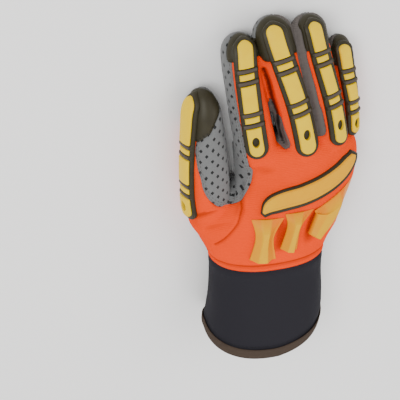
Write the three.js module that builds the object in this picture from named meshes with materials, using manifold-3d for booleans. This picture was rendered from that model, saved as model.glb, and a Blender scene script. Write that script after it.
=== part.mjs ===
// An impact work glove for the right hand, lying palm down, in millimetres.
// +Z is up from the surface that it lies on, +Y runs from the cuff to the fingertips, and +X
// points to the little finger. The origin lies on that surface, under the middle of the palm.
import * as THREE from "three";
import { mergeVertices } from "three/addons/utils/BufferGeometryUtils.js";
import Module from "manifold-3d";

const wasm = await Module();
wasm.setup();

// Walls and clearances
const handWall = 1.8; // knitted back and suede-like palm, with their lining
const cuffWall = 2.6; // neoprene of the cuff
const seamGap = 0.35; // between two panels that are sewn together
const seatGap = 0.3; // between a sewn patch, tape or pad and what carries it
const guardSeat = 0.48; // between the base of a moulded guard and the facets of the skin below
const patchThickness = 1.2; // grip patch of the palm, and webbing of the strap
const underside = patchThickness + seatGap; // height of the palm above the surface

// Hand, from the wrist seam to the roots of the fingers
const wristSeamY = -60;
const handLength = 100;
const handWidth = 100;
const handHeight = 45;
const handCentreX = 12;
const waistHeight = 0.38; // height of the widest line of the hand, as a share of its top
const undersideSpread = 1.15; // how much deeper than the surface the round of the palm would go
const sideSeam = 0.333; // height where the back is sewn to the palm, as a share of the hand's
const webAlong = 0.96; // where the back ends between two fingers, as a share of the hand's length

// Cuff
const cuffLength = 62;
const cuffWidth = 94;
const cuffHeight = 58;
const cuffCentreX = 1.5;
const rimBulge = 11; // how much further back the rim reaches at the top than at its sides
const rimSlant = 8; // how much further forward the rim lies at the little finger's side
const bulgeStart = 0.3; // share of the cuff's length where those two start
const bindingWidth = 5;
const bindingThickness = 0.9;
const strapWidth = 23;
const strapCentreX = -5;
const strapTail = 32; // how far the pull strap reaches past the rim
const pastRim = 6; // how far the hollow's cutter reaches past the rim

// Moulded guards
const guardBase = 3.0; // top of the base of a guard above the glove
const ribTop = 4.5;
const padTop = 4.7;
const lean = 0.35; // how far the sides of a moulding follow the round of what it lies on
const padMargin = 2.4; // base left bare along each side of a finger's pad
const knuckleMargin = 2.2; // and of the knuckle guard's pad
const padBevel = 0.9;
const guardBevel = 0.4;
const ribLength = 3.3;
const barLength = 4.2;
const recessLength = 8;
const recessWidth = 5;

const digitSides = 12;
const handSides = 20;
const hollowSides = { digit: 8, hand: 12 };
const wedgeStep = 40; // degrees between two corners of a cutter round a digit
const boxiness = 0.86; // exponent of the rounded sections: 1 is an ellipse, less is squarer

// Sections of the hand, as shares of its length, width and height. left and right count from its
// middle, and skew lowers the little finger's side.
const handSections = [
  { along: -0.02, left: -0.525, right: 0.33, top: 1.11, skew: 0.0 },
  { along: 0.1, left: -0.575, right: 0.385, top: 1.07, skew: 0.02 },
  { along: 0.22, left: -0.635, right: 0.46, top: 1.035, skew: 0.04 },
  { along: 0.36, left: -0.69, right: 0.505, top: 1.01, skew: 0.06 },
  { along: 0.52, left: -0.48, right: 0.55, top: 1.0, skew: 0.05 },
  { along: 0.62, left: -0.38, right: 0.575, top: 0.99, skew: 0.05 },
  { along: 0.7, left: -0.355, right: 0.59, top: 0.975, skew: 0.06 },
  { along: 0.82, left: -0.36, right: 0.595, top: 0.93, skew: 0.08 },
  { along: 0.92, left: -0.35, right: 0.565, top: 0.86, skew: 0.12 },
  { along: 1.0, left: -0.28, right: 0.52, top: 0.72, skew: 0.15 },
];

// Sections of the cuff, as shares of its length, width and height, from the seam to the rim.
// lift is how far its underside is raised, as a share of the binding's room under it.
const cuffSections = [
  { along: 0, left: -0.457, right: 0.473, top: 0.865, skew: 0, lift: 0 },
  { along: 0.3, left: -0.462, right: 0.473, top: 0.895, skew: 0, lift: 0.5 },
  { along: 0.62, left: -0.477, right: 0.485, top: 0.955, skew: 0, lift: 1 },
  { along: 0.9, left: -0.505, right: 0.468, top: 1.015, skew: 0, lift: 1 },
  { along: 1.3, left: -0.53, right: 0.37, top: 1.03, skew: 0, lift: 1 },
];

// The thumb and the fingers, in shares of the hand. root is the middle of the first section, and
// length runs from there to the tip. width and thickness are the digit's at its thickest, as
// shares of the hand's width and height, and guardWidth is a share of its width. back and palm are
// the angles that those panels cover, from the middle of the digit's back, and what they leave
// open is a side strip. cap is the share of the digit's length where its fingertip cap starts, and
// capBack the angles that it covers. guard gives the two ends of the impact guard as shares of the
// digit's length, and bars the middles of its two bars as shares of its own. levelSeams keeps the
// seams at their angles from straight up where the digit rolls. In a section, yaw turns the digit
// about +Z, pitch turns it down, and roll turns its back to the little finger.
const digitShares = {
  thumb: {
    root: [-0.55, 0.28, 0.411], length: 1.14, width: 0.35, thickness: 0.7,
    back: [-88, 68], palm: [68, 272], cap: 0.72, capBack: [-88, 84],
    guardWidth: 0.155, guard: [0.11, 0.99], bars: [0.25, 0.565],
    sections: [
      { share: 0.0, yaw: -2, pitch: 1, roll: -70, width: 0.7, thickness: 0.7 },
      { share: 0.12, yaw: -2, pitch: 1, roll: -71, width: 0.93, thickness: 0.92 },
      { share: 0.3, yaw: -2, pitch: 1, roll: -74, width: 1.0, thickness: 1.0 },
      { share: 0.6, yaw: -2, pitch: 2, roll: -74, width: 0.93, thickness: 0.9 },
      { share: 0.82, yaw: -3, pitch: 3, roll: -70, width: 0.82, thickness: 0.74 },
    ],
  },
  index: {
    root: [-0.194, 0.86, 0.544], length: 0.96, width: 0.292, thickness: 0.689,
    back: [-38, 62], palm: [118, 322], cap: 0.81, capBack: [-60, 62],
    guardWidth: 0.162, guard: [0.1, 0.98], bars: [0.328, 0.686], levelSeams: true,
    sections: [
      { share: 0.0, yaw: -13, pitch: 2, roll: -10, width: 1.07, thickness: 1.0 },
      { share: 0.35, yaw: -10, pitch: 5, roll: -6, width: 0.98, thickness: 0.91 },
      { share: 0.66, yaw: -8, pitch: 10, roll: 0, width: 0.92, thickness: 0.84 },
      { share: 0.85, yaw: -3, pitch: 14, roll: 4, width: 0.88, thickness: 0.8 },
    ],
  },
  middle: {
    root: [0.134, 0.86, 0.578], length: 1.08, width: 0.284, thickness: 0.689,
    back: [-66, 62], palm: [118, 242], cap: 0.735, capBack: [-62, 62],
    guardWidth: 0.17, guard: [0.06, 0.97], bars: [0.362, 0.692],
    sections: [
      { share: 0.0, yaw: -13, pitch: 2, roll: 5, width: 0.95, thickness: 1.0 },
      { share: 0.38, yaw: -14, pitch: 5, roll: 10, width: 0.97, thickness: 0.9 },
      { share: 0.7, yaw: -14, pitch: 10, roll: 2, width: 1.04, thickness: 0.84 },
      { share: 0.87, yaw: -9, pitch: 15, roll: -5, width: 1.02, thickness: 0.8 },
    ],
  },
  ring: {
    root: [0.352, 0.88, 0.511], length: 1.03, width: 0.25, thickness: 0.644,
    back: [-58, 62], palm: [118, 242], cap: 0.767, capBack: [-62, 62],
    guardWidth: 0.147, guard: [0.07, 0.98], bars: [0.358, 0.7],
    sections: [
      { share: 0.0, yaw: -9, pitch: 1, roll: 18, width: 1.0, thickness: 1.0 },
      { share: 0.38, yaw: -12, pitch: 4, roll: 21, width: 1.0, thickness: 0.91 },
      { share: 0.7, yaw: -11, pitch: 9, roll: 12, width: 1.04, thickness: 0.85 },
      { share: 0.88, yaw: -9, pitch: 12, roll: 8, width: 1.02, thickness: 0.81 },
    ],
  },
  little: {
    root: [0.47, 0.87, 0.356], length: 0.825, width: 0.2, thickness: 0.5,
    back: [-62, 100], palm: [100, 242], cap: 0.743, capBack: [-62, 100],
    guardWidth: 0.122, guard: [0.1, 0.96], bars: [0.31, 0.65],
    sections: [
      { share: 0.0, yaw: -1, pitch: 0, roll: 42, width: 0.9, thickness: 0.88 },
      { share: 0.38, yaw: -3, pitch: 2, roll: 30, width: 0.97, thickness: 0.9 },
      { share: 0.7, yaw: -5, pitch: 6, roll: 12, width: 0.92, thickness: 0.82 },
      { share: 0.85, yaw: -4, pitch: 10, roll: 6, width: 0.88, thickness: 0.8 },
    ],
  },
};

const digits = Object.fromEntries(Object.entries(digitShares).map(([name, row]) => [name, {
  ...row,
  length: row.length * handLength,
  width: row.width * handWidth,
  thickness: row.thickness * handHeight,
  guardWidth: row.guardWidth * handWidth,
}]));

// How a digit closes after its last section: steps along what is left, and the size there
const tipSteps = [
  { step: 0.5, size: 0.86 },
  { step: 0.82, size: 0.58 },
  { step: 1.0, size: 0.2 },
];

// The knuckle guard: its middle line over the back of the hand, as shares of the hand's width and
// length, and its width as a share of the hand's, from the thumb's side to the little finger's
const knuckleGuard = [
  { x: -0.215, y: 0.475, width: 0.03 },
  { x: -0.15, y: 0.54, width: 0.13 },
  { x: -0.05, y: 0.578, width: 0.17 },
  { x: 0.1, y: 0.605, width: 0.18 },
  { x: 0.25, y: 0.652, width: 0.175 },
  { x: 0.38, y: 0.715, width: 0.16 },
  { x: 0.47, y: 0.785, width: 0.125 },
  { x: 0.51, y: 0.838, width: 0.05 },
];

// The three bolsters behind the knuckles: the middle line of each at its knuckle end, waist and
// wrist end, and its width there, in the same shares. slant is how far forward a point across it
// lies, as a share of its distance from the middle line.
const bolsters = {
  first: [
    { x: -0.17, y: 0.435, width: 0.25, slant: 0.1 },
    { x: -0.195, y: 0.28, width: 0.145, slant: 0 },
    { x: -0.21, y: 0.1, width: 0.2, slant: 0 },
  ],
  second: [
    { x: 0.075, y: 0.455, width: 0.22, slant: 0.3 },
    { x: 0.035, y: 0.33, width: 0.12, slant: 0.1 },
    { x: -0.01, y: 0.155, width: 0.14, slant: 0 },
  ],
  third: [
    { x: 0.345, y: 0.53, width: 0.26, slant: 0.75 },
    { x: 0.295, y: 0.39, width: 0.165, slant: 0.35 },
    { x: 0.195, y: 0.205, width: 0.13, slant: 0 },
  ],
};
const bolsterTop = 6.5;
const bolsterFoot = 1.6; // height of the side faces of a bolster where its ridge starts
const bolsterSteps = 4;
const knuckleGuardSteps = 11;

// Ovals seen from above, in the same shares. The patch in the crotch of the thumb is two of them:
// one up the thumb and one round to the index finger. sides is where the heel's edge leaves its
// oval and runs straight across.
const crotchPatch = { x: -0.49, y: 0.96, radiusX: 0.185, radiusY: 0.34 };
const crotchLoop = { x: -0.455, y: 0.79, radiusX: 0.19, radiusY: 0.27 };
const gripPatch = { x: -0.01, y: 0.46, radiusX: 0.29, radiusY: 0.38 };
const heelEdge = { x: -0.08, y: 0.72, radiusX: 0.62, radiusY: 0.6, sides: 0.38 };

const degree = Math.PI / 180;
const reachAll = 200; // half the size of a cutter that has to reach past the whole glove
const mix = (a, b, t) => a + (b - a) * t;
const handX = (share) => handCentreX + share * handWidth;
const handY = (share) => wristSeamY + share * handLength;
const steps = (count) => Array.from({ length: count + 1 }, (_, i) => i / count);

// The row of a table at a place, with each column mixed between the rows on its two sides
function tableAt(rows, column, place) {
  const last = rows.length - 1;
  let i = 0;
  while (i < last - 1 && place > rows[i + 1][column]) i += 1;
  const [a, b] = [rows[i], rows[i + 1]];
  const t = (place - a[column]) / (b[column] - a[column]);
  return Object.fromEntries(Object.keys(a).map((key) => [key, mix(a[key], b[key], t)]));
}

// A sine or cosine bent by the boxiness of the sections
const bent = (value, power = boxiness) => Math.sign(value) * Math.abs(value) ** power;

// A manifold solid from points and triangles, turned so that its faces point out
function solid(points, triangles) {
  const make = (list) => new wasm.Manifold(new wasm.Mesh({
    numProp: 3,
    vertProperties: new Float32Array(points.flatMap((p) => [p.x, p.y, p.z])),
    triVerts: new Uint32Array(list.flat()),
  }));
  const made = make(triangles);
  return made.volume() > 0 ? made : make(triangles.map(([a, b, c]) => [a, c, b]));
}

// A closed solid through rings of points that have equally many points each
function loft(rings) {
  const count = rings[0].length;
  const points = rings.flat();
  const triangles = [];
  for (let i = 0; i + 1 < rings.length; i += 1) {
    for (let j = 0; j < count; j += 1) {
      const a = i * count + j;
      const b = i * count + ((j + 1) % count);
      triangles.push([a, b, b + count], [a, b + count, a + count]);
    }
  }
  for (const [ring, turned] of [[0, true], [rings.length - 1, false]]) {
    const centre = new THREE.Vector3();
    rings[ring].forEach((point) => centre.addScaledVector(point, 1 / count));
    points.push(centre);
    for (let j = 0; j < count; j += 1) {
      const a = ring * count + j;
      const b = ring * count + ((j + 1) % count);
      triangles.push(turned ? [b, a, points.length - 1] : [a, b, points.length - 1]);
    }
  }
  return solid(points, triangles);
}

// A closed slab between two grids of points, its underside and its top
function slab(under, over) {
  const [rows, columns] = [under.length, under[0].length];
  const at = (layer, i, j) => (layer * rows + i) * columns + j;
  const triangles = [];
  const quad = (a, b, c, d) => triangles.push([a, b, c], [a, c, d]);
  for (let i = 0; i + 1 < rows; i += 1) {
    for (let j = 0; j + 1 < columns; j += 1) {
      quad(at(0, i, j), at(0, i, j + 1), at(0, i + 1, j + 1), at(0, i + 1, j));
      quad(at(1, i, j), at(1, i + 1, j), at(1, i + 1, j + 1), at(1, i, j + 1));
    }
    quad(at(0, i, 0), at(0, i + 1, 0), at(1, i + 1, 0), at(1, i, 0));
    const edge = columns - 1;
    quad(at(0, i, edge), at(1, i, edge), at(1, i + 1, edge), at(0, i + 1, edge));
  }
  for (let j = 0; j + 1 < columns; j += 1) {
    quad(at(0, 0, j), at(1, 0, j), at(1, 0, j + 1), at(0, 0, j + 1));
    const end = rows - 1;
    quad(at(0, end, j), at(0, end, j + 1), at(1, end, j + 1), at(1, end, j));
  }
  return solid([...under.flat(), ...over.flat()], triangles);
}

// A solid from a geometry of three.js
function fromGeometry(geometry) {
  geometry.deleteAttribute("normal");
  geometry.deleteAttribute("uv");
  const merged = mergeVertices(geometry);
  return new wasm.Manifold(new wasm.Mesh({
    numProp: 3,
    vertProperties: merged.attributes.position.array,
    triVerts: new Uint32Array(merged.index.array),
  }));
}

function box(low, high) {
  const size = high.map((value, i) => value - low[i]);
  const geometry = new THREE.BoxGeometry(...size);
  geometry.translate(...low.map((value, i) => value + size[i] / 2));
  return fromGeometry(geometry);
}

// An upright prism over an oval of the hand, grown all round by a gap
function ovalPrism(oval, grow, bottom, top) {
  const radiusX = oval.radiusX * handWidth + grow;
  const radiusY = oval.radiusY * handLength + grow;
  const shape = new THREE.Shape();
  shape.absellipse(handX(oval.x), handY(oval.y), radiusX, radiusY, 0, 2 * Math.PI);
  const geometry = new THREE.ExtrudeGeometry(shape, {
    depth: top - bottom, bevelEnabled: false, curveSegments: 9,
  });
  geometry.translate(0, 0, bottom);
  return fromGeometry(geometry);
}

const joined = (solids) => solids.reduce((all, next) => all.add(next));

// The pieces of a solid, the largest first, without the crumbs that a cut may leave
const pieces = (made, count) => made.decompose().sort((a, b) => b.volume() - a.volume())
  .slice(0, count);

// The middle line of a digit at a share of its length, with the directions across its section
function digitFrame(digit, share) {
  const parts = 24;
  const up = new THREE.Vector3(0, 0, 1);
  const [rootX, rootY, rootZ] = digit.root;
  const middle = new THREE.Vector3(handX(rootX), handY(rootY), rootZ * handHeight);
  const turned = (place) => {
    const row = tableAt(digit.sections, "share", Math.max(place, 0));
    const [yaw, pitch, roll] = [row.yaw * degree, row.pitch * degree, row.roll * degree];
    const heading = new THREE.Vector3(Math.sin(yaw), Math.cos(yaw), 0);
    const along = heading.clone().multiplyScalar(Math.cos(pitch));
    return { heading, pitch, roll, along: along.addScaledVector(up, -Math.sin(pitch)) };
  };
  for (let i = 0; i < parts; i += 1) {
    const { along } = turned((share * (i + 0.5)) / parts);
    middle.addScaledVector(along, (share * digit.length) / parts);
  }
  const { heading, pitch, roll } = turned(share);
  const flat = new THREE.Vector3(heading.y, -heading.x, 0);
  const lift = up.clone().multiplyScalar(Math.cos(pitch)).addScaledVector(heading, Math.sin(pitch));
  const back = lift.clone().multiplyScalar(Math.cos(roll)).addScaledVector(flat, Math.sin(roll));
  const side = flat.multiplyScalar(Math.cos(roll)).addScaledVector(lift, -Math.sin(roll));
  return { middle, side, back, roll };
}

// Half the width and half the thickness of a digit at a share of its length
function digitSize(digit, share) {
  const last = digit.sections[digit.sections.length - 1];
  const row = share < last.share ? tableAt(digit.sections, "share", Math.max(share, 0)) : last;
  const tip = Math.max(0, (share - last.share) / (1 - last.share));
  const { size } = tableAt([{ step: 0, size: 1 }, ...tipSteps], "step", tip);
  return {
    side: (digit.width / 2) * row.width * size,
    thick: (digit.thickness / 2) * row.thickness * size,
  };
}

// A point of a digit, at an angle from the middle of its back and a height above its outside
function digitPoint(digit, share, angle, height) {
  const { middle, side, back } = digitFrame(digit, share);
  const size = digitSize(digit, share);
  const [s, c] = [Math.sin(angle * degree), Math.cos(angle * degree)];
  const reach = Math.hypot(s * size.thick, c * size.side);
  const across = size.side * bent(s) + (height * s * size.thick) / reach;
  const upward = size.thick * bent(c) + (height * c * size.side) / reach;
  const point = middle.addScaledVector(side, across).addScaledVector(back, upward);
  point.z = Math.max(point.z, Math.max(-height, 0));
  return point;
}

// The shares of a digit's length where its skin has a section, up to its end
function skinShares(digit, end) {
  const last = digit.sections[digit.sections.length - 1].share;
  return [
    ...digit.sections.map((row) => row.share),
    ...tipSteps.map((row) => mix(last, end, row.step)),
  ];
}

// The skin of a digit, closed, at a height above its outside (0) or inside it (negative)
function digitSkin(digit, height, sides) {
  const shares = skinShares(digit, 1 + (1.5 * height) / digit.length);
  const angles = steps(sides).slice(1).map((turn) => 360 * turn);
  return loft(shares.map((share) => {
    const { side } = digitSize(digit, share);
    return angles.map((angle) => digitPoint(digit, share, angle, Math.max(height, -0.6 * side)));
  }));
}

// A wedge along a digit that takes out the skin between two angles, from one share to another,
// and reaches past the outside of the skin
function digitWedge(digit, [fromAngle, toAngle], fromShare, toShare, past) {
  const last = digit.sections[digit.sections.length - 1].share;
  const arcs = steps(Math.ceil((toAngle - fromAngle) / wedgeStep));
  const between = skinShares(digit, 1).slice(0, -1)
    .filter((share) => share > fromShare + 0.02 && share < toShare);
  return loft([fromShare, ...between, toShare].map((share) => {
    const { middle, side, back, roll } = digitFrame(digit, share);
    const size = digitSize(digit, Math.min(share, last));
    const level = digit.levelSeams ? roll : 0;
    const rim = arcs.map((turn) => {
      const angle = mix(fromAngle, toAngle, turn) * degree - level;
      return middle.clone()
        .addScaledVector(side, (size.side + past) * bent(Math.sin(angle)))
        .addScaledVector(back, (size.thick + past) * bent(Math.cos(angle)));
    });
    return [middle, ...rim];
  }));
}

// A point of the hand or the cuff, at an angle from its top and a height above its outside
function sectionPoint(section, angle, height) {
  const waist = section.top * waistHeight;
  const [s, c] = [Math.sin(angle * degree), Math.cos(angle * degree)];
  const halfWidth = (section.right - section.left) / 2;
  const over = (section.top - waist) * (1 - section.skew * bent(s));
  const rise = c > 0 ? over : (waist - section.bottom) * undersideSpread;
  const reach = Math.hypot(s * rise, c * halfWidth);
  const x = (section.left + section.right) / 2 + halfWidth * bent(s) + (height * s * rise) / reach;
  const power = c > 0 ? boxiness : boxiness * 0.7;
  const z = waist + rise * bent(c, power) + (height * c * halfWidth) / reach;
  return new THREE.Vector3(x, section.y, Math.max(z, section.bottom - height));
}

const ring = (section, height, sides) => steps(sides).slice(1)
  .map((turn) => sectionPoint(section, 360 * turn, height));

const handSection = (row) => ({
  y: handY(row.along),
  left: handX(row.left),
  right: handX(row.right),
  top: row.top * handHeight,
  bottom: underside,
  skew: row.skew,
});
const cuffSection = (row) => ({
  y: wristSeamY - row.along * cuffLength,
  left: cuffCentreX + row.left * cuffWidth,
  right: cuffCentreX + row.right * cuffWidth,
  top: row.top * cuffHeight,
  bottom: underside + row.lift * (bindingThickness + seatGap),
  skew: row.skew,
});

// A point over the back of the hand, seen from above at x and y, at a height above the glove
function backPoint(x, y, height) {
  const section = handSection(tableAt(handSections, "along", (y - wristSeamY) / handLength));
  const middle = (section.left + section.right) / 2;
  const halfWidth = (section.right - section.left) / 2;
  const share = Math.min(Math.abs((x - middle) / halfWidth), 0.99);
  const angle = Math.sign(x - middle) * Math.asin(share ** (1 / boxiness));
  return sectionPoint(section, angle / degree, height);
}

// The same over a moulding whose middle lies at x and y: its sides stand up more steeply than the
// surface below them
function backOver(middle, x, y, height) {
  const [leanX, leanY] = [mix(middle.x, x, lean), mix(middle.y, y, lean)];
  const rise = backPoint(leanX, leanY, height).sub(backPoint(leanX, leanY, 0));
  return backPoint(x, y, 0).add(rise);
}

// A point over a digit, at a distance across from the middle of its back
function overDigit(digit, share, across, height) {
  const { side } = digitSize(digit, share);
  const sine = Math.min((Math.abs(across) / side) ** (1 / boxiness), 0.93);
  const angle = (Math.sign(across) * Math.asin(sine)) / degree;
  const rise = digitPoint(digit, share, lean * angle, height)
    .sub(digitPoint(digit, share, lean * angle, 0));
  return digitPoint(digit, share, angle, 0).add(rise);
}

const digitNames = Object.keys(digits);
const group = new THREE.Group();

function addPart(name, made, material) {
  const mesh = made.getMesh();
  const geometry = new THREE.BufferGeometry();
  const positions = new THREE.BufferAttribute(new Float32Array(mesh.vertProperties), 3);
  geometry.setAttribute("position", positions);
  geometry.setIndex(new THREE.BufferAttribute(new Uint32Array(mesh.triVerts), 1));
  geometry.computeVertexNormals();
  const part = new THREE.Mesh(geometry, material);
  part.name = name;
  group.add(part);
}

const finish = (color, roughness) => (
  new THREE.MeshStandardMaterial({ color, roughness, metalness: 0 })
);
const orangeKnit = finish("#ff6a2b", 0.85);
const greySuede = finish("#7b7c7c", 0.9);
const greyKnit = finish("#77706f", 0.9);
const blackKnit = finish("#17181a", 0.9);
const neoprene = finish("#2b2b31", 0.85);
const bindingTape = finish("#3a332e", 0.85);
const blackWebbing = finish("#151413", 0.8);
const darkRubber = finish("#3d3a30", 0.55);
const yellowRubber = finish("#f6cf1e", 0.45);
const ochreRubber = finish("#dca81f", 0.45);

// The whole skin of the hand: what is inside its outside and outside its hollow
function handSkin() {
  const rings = (height, sides) => handSections.map((row, i) => {
    const section = handSection(row);
    const closed = i === handSections.length - 1 ? Math.min(height, 0) : 0;
    return ring({ ...section, y: section.y + closed }, height, sides);
  });
  const skins = (height, sides) => (
    digitNames.map((name) => digitSkin(digits[name], height, sides))
  );
  const outside = joined([loft(rings(0, handSides)), ...skins(0, digitSides)]);
  const hollow = joined([
    loft(rings(-handWall, hollowSides.hand)),
    ...skins(-handWall, hollowSides.digit),
  ]);
  const mouth = box([-reachAll, -reachAll, -reachAll], [reachAll, wristSeamY + seamGap, reachAll]);
  return outside.subtract(hollow).subtract(mouth);
}

// Cutters for the panels of the skin, grown by the seam gap where they clear a neighbour
const seamAngle = 2.2; // the seam gap as an angle round a digit
const wedgePast = 1.2; // how far the panel cutters reach past the outside of a digit
const [wedgeStart, wedgeEnd] = [-0.03, 1.08]; // shares of a digit's length
const wristSide = wristSeamY - 1;
const webY = handY(webAlong);
const sideSeamHeight = sideSeam * handHeight;
const upperHalf = (grow) => box(
  [-reachAll, wristSide, sideSeamHeight - grow],
  [reachAll, webY + grow, reachAll],
);
const lowerHalf = (grow) => box(
  [-reachAll, wristSide, -reachAll],
  [reachAll, webY + 4 + grow, sideSeamHeight - seamGap + grow],
);
const spread = ([from, to], by) => [from - by, to + by];
const digitWedges = (panel, by) => digitNames.map((name) => {
  const digit = digits[name];
  return digitWedge(digit, spread(digit[panel], by), wedgeStart, wedgeEnd, wedgePast + by / 2);
});
const capCutters = (grow) => digitNames.map((name) => {
  const digit = digits[name];
  const angles = spread(digit.capBack, (grow / seamGap) * seamAngle);
  const start = digit.cap - grow / digit.length;
  return digitWedge(digit, angles, start, wedgeEnd, wedgePast + 3 * grow);
});
const crotchCutter = (grow) => joined([crotchPatch, crotchLoop]
  .map((oval) => ovalPrism(oval, grow, sideSeamHeight - grow, reachAll)));

// An upright prism between the middle lines of two digits
function betweenDigits(one, other) {
  const [start, end] = [-0.1, 1.1];
  const ends = [[one, start], [one, end], [other, end], [other, start]];
  const corners = ends.map(([digit, share]) => digitFrame(digit, share).middle);
  const shape = new THREE.Shape(corners.map(({ x, y }) => new THREE.Vector2(x, y)));
  return fromGeometry(new THREE.ExtrudeGeometry(shape, { depth: reachAll, bevelEnabled: false }));
}

function addSkinPanels() {
  const skin = handSkin();
  const backRegion = (grow) => joined([
    upperHalf(grow),
    ...digitWedges("back", (grow / seamGap) * seamAngle),
  ]);
  const palmRegion = (grow) => joined([
    lowerHalf(grow),
    ...digitWedges("palm", (grow / seamGap) * seamAngle),
  ]);
  const indexBack = (angles, past) => digitWedge(digits.index, angles, wedgeStart, wedgeEnd, past);
  const wideBack = indexBack(spread(digits.index.back, seamAngle), 2 * wedgePast);
  const caps = joined(capCutters(seamGap));
  const crotch = crotchCutter(0).subtract(wideBack).subtract(caps);
  const crotchGrown = crotchCutter(seamGap).subtract(indexBack(digits.index.back, wedgePast));
  const back = skin.intersect(backRegion(0)).subtract(caps).subtract(crotchGrown);
  addPart("back_panel", pieces(back, 1)[0], orangeKnit);
  digitNames.forEach((name, i) => {
    addPart(`${name}_cap`, pieces(skin.intersect(capCutters(0)[i]), 1)[0], darkRubber);
  });
  addPart("thumb_crotch_patch", pieces(skin.intersect(crotch), 1)[0], greySuede);
  const below = skin.subtract(backRegion(seamGap)).subtract(caps);
  const palm = below.intersect(palmRegion(0)).subtract(crotchGrown);
  const sidesY = handY(heelEdge.sides);
  const inFront = (grow) => ovalPrism(heelEdge, grow, -reachAll, reachAll)
    .add(box([-reachAll, sidesY - grow, -reachAll], [reachAll, reachAll, reachAll]));
  addPart("palm_panel", pieces(palm.intersect(inFront(0)), 1)[0], greySuede);
  addPart("palm_heel", pieces(palm.subtract(inFront(seamGap)), 1)[0], blackKnit);
  const sides = below.subtract(palmRegion(seamGap)).subtract(crotchGrown);
  for (const [one, other] of [["index", "middle"], ["middle", "ring"], ["ring", "little"]]) {
    const side = pieces(sides.intersect(betweenDigits(digits[one], digits[other])), 1)[0];
    addPart(`${one}_${other}_side`, side, greyKnit);
  }
}

// Rings of the cuff at a height above its outside, from a share of its length to an end that
// lies a little before or past the rim. The higher a point is, the further back it reaches.
function cuffRings(height, from, beforeRim, sides = handSides) {
  const between = cuffSections.map((row) => row.along).filter((along) => along > from && along < 1);
  return [from, ...between, 1].map((along) => {
    const section = cuffSection(tableAt(cuffSections, "along", along));
    const part = Math.max(0, along - bulgeStart) / (1 - bulgeStart);
    return ring(section, height, sides).map((point) => {
      const rise = Math.max(0, (point.z / section.top - waistHeight) / (1 - waistHeight));
      const aside = Math.max(0, (2 * (point.x - cuffCentreX)) / cuffWidth);
      const moved = part * (rimSlant * aside - rimBulge * rise);
      return point.setY(point.y + moved + (along === 1 ? beforeRim : 0));
    });
  });
}

function addCuff() {
  const hollow = loft(cuffRings(-cuffWall, -0.05, -pastRim, hollowSides.hand));
  const start = box([-reachAll, wristSeamY - seamGap / 4, -reachAll], [reachAll, 0, reachAll]);
  addPart("cuff", loft(cuffRings(0, 0, 0)).subtract(hollow).subtract(start), neoprene);

  const tapeStart = 1 - bindingWidth / cuffLength;
  const [grooveStart, tapeHeight] = [0.9, seatGap + bindingThickness];
  const outer = loft(cuffRings(tapeHeight, tapeStart, -tapeHeight));
  const inner = loft(cuffRings(-cuffWall - tapeHeight, grooveStart, -pastRim, hollowSides.hand));
  const grooveOut = loft(cuffRings(seatGap, grooveStart, -seatGap));
  const grooveIn = loft(cuffRings(-cuffWall - seatGap, grooveStart, -pastRim, hollowSides.hand));
  const tape = outer.subtract(inner).subtract(grooveOut.subtract(grooveIn));
  addPart("cuff_binding", pieces(tape, 1)[0], bindingTape);
}

function addPatches() {
  const grip = ovalPrism(gripPatch, 0, 0, patchThickness);
  addPart("palm_grip_patch", grip, greySuede);
  const rimY = wristSeamY - cuffLength;
  const low = [strapCentreX - strapWidth / 2, rimY - strapTail, 0];
  const high = [strapCentreX + strapWidth / 2, wristSeamY - 2, patchThickness];
  addPart("pull_strap", box(low, high), blackWebbing);
}

// Places along a moulding from one end to the other, with its half width and height there, and
// ends that are round or square
function roundedRows(from, to, half, roundFrom, roundTo, high) {
  const turns = [25, 90].map((angle) => angle * degree);
  const end = (turn, start, way) => (
    { at: start + way * half * (1 - Math.cos(turn)), half: half * Math.sin(turn), high }
  );
  const first = roundFrom ? turns.map((turn) => end(turn, from, 1)) : [{ at: from, half, high }];
  const square = [{ at: to, half, high }];
  const last = roundTo ? turns.map((turn) => end(turn, to, -1)).reverse() : square;
  return [...first, ...last];
}

// The rows of a moulding, with one more wherever the skin below it has a section
function seatedRows(digit, rows) {
  const [from, to] = [rows[0].at, rows[rows.length - 1].at];
  const places = skinShares(digit, 1).map((share) => (share - digit.guard[0]) * digit.length);
  const missing = places.filter((at) => at > from && at < to)
    .filter((at) => rows.every((row) => Math.abs(row.at - at) > 0.6));
  const added = missing.map((at) => tableAt(rows, "at", at));
  return [...rows, ...added].sort((a, b) => a.at - b.at);
}

const columns = [-1, -0.36, 0.36, 1]; // places across a moulding
const ribProfile = [
  { side: -1, high: guardBase },
  { side: -0.8, high: ribTop },
  { side: 0.8, high: ribTop },
  { side: 1, high: guardBase },
];

// A moulding laid along the back of a digit, with its top drawn in at the sides by a bevel
function moulding(digit, plainRows, low, bevel) {
  const rows = seatedRows(digit, plainRows);
  const start = digit.guard[0];
  const [from, to] = [rows[0].at, rows[rows.length - 1].at];
  const grid = (inset, heightOf) => rows.map((row) => {
    const at = Math.min(Math.max(row.at, from + inset), to - inset);
    const half = Math.max(row.half - inset, 0.3 * row.half);
    const share = start + at / digit.length;
    return columns.map((column) => overDigit(digit, share, column * half, heightOf(row)));
  });
  return slab(grid(0, () => low), grid(bevel, (row) => row.high));
}

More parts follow.
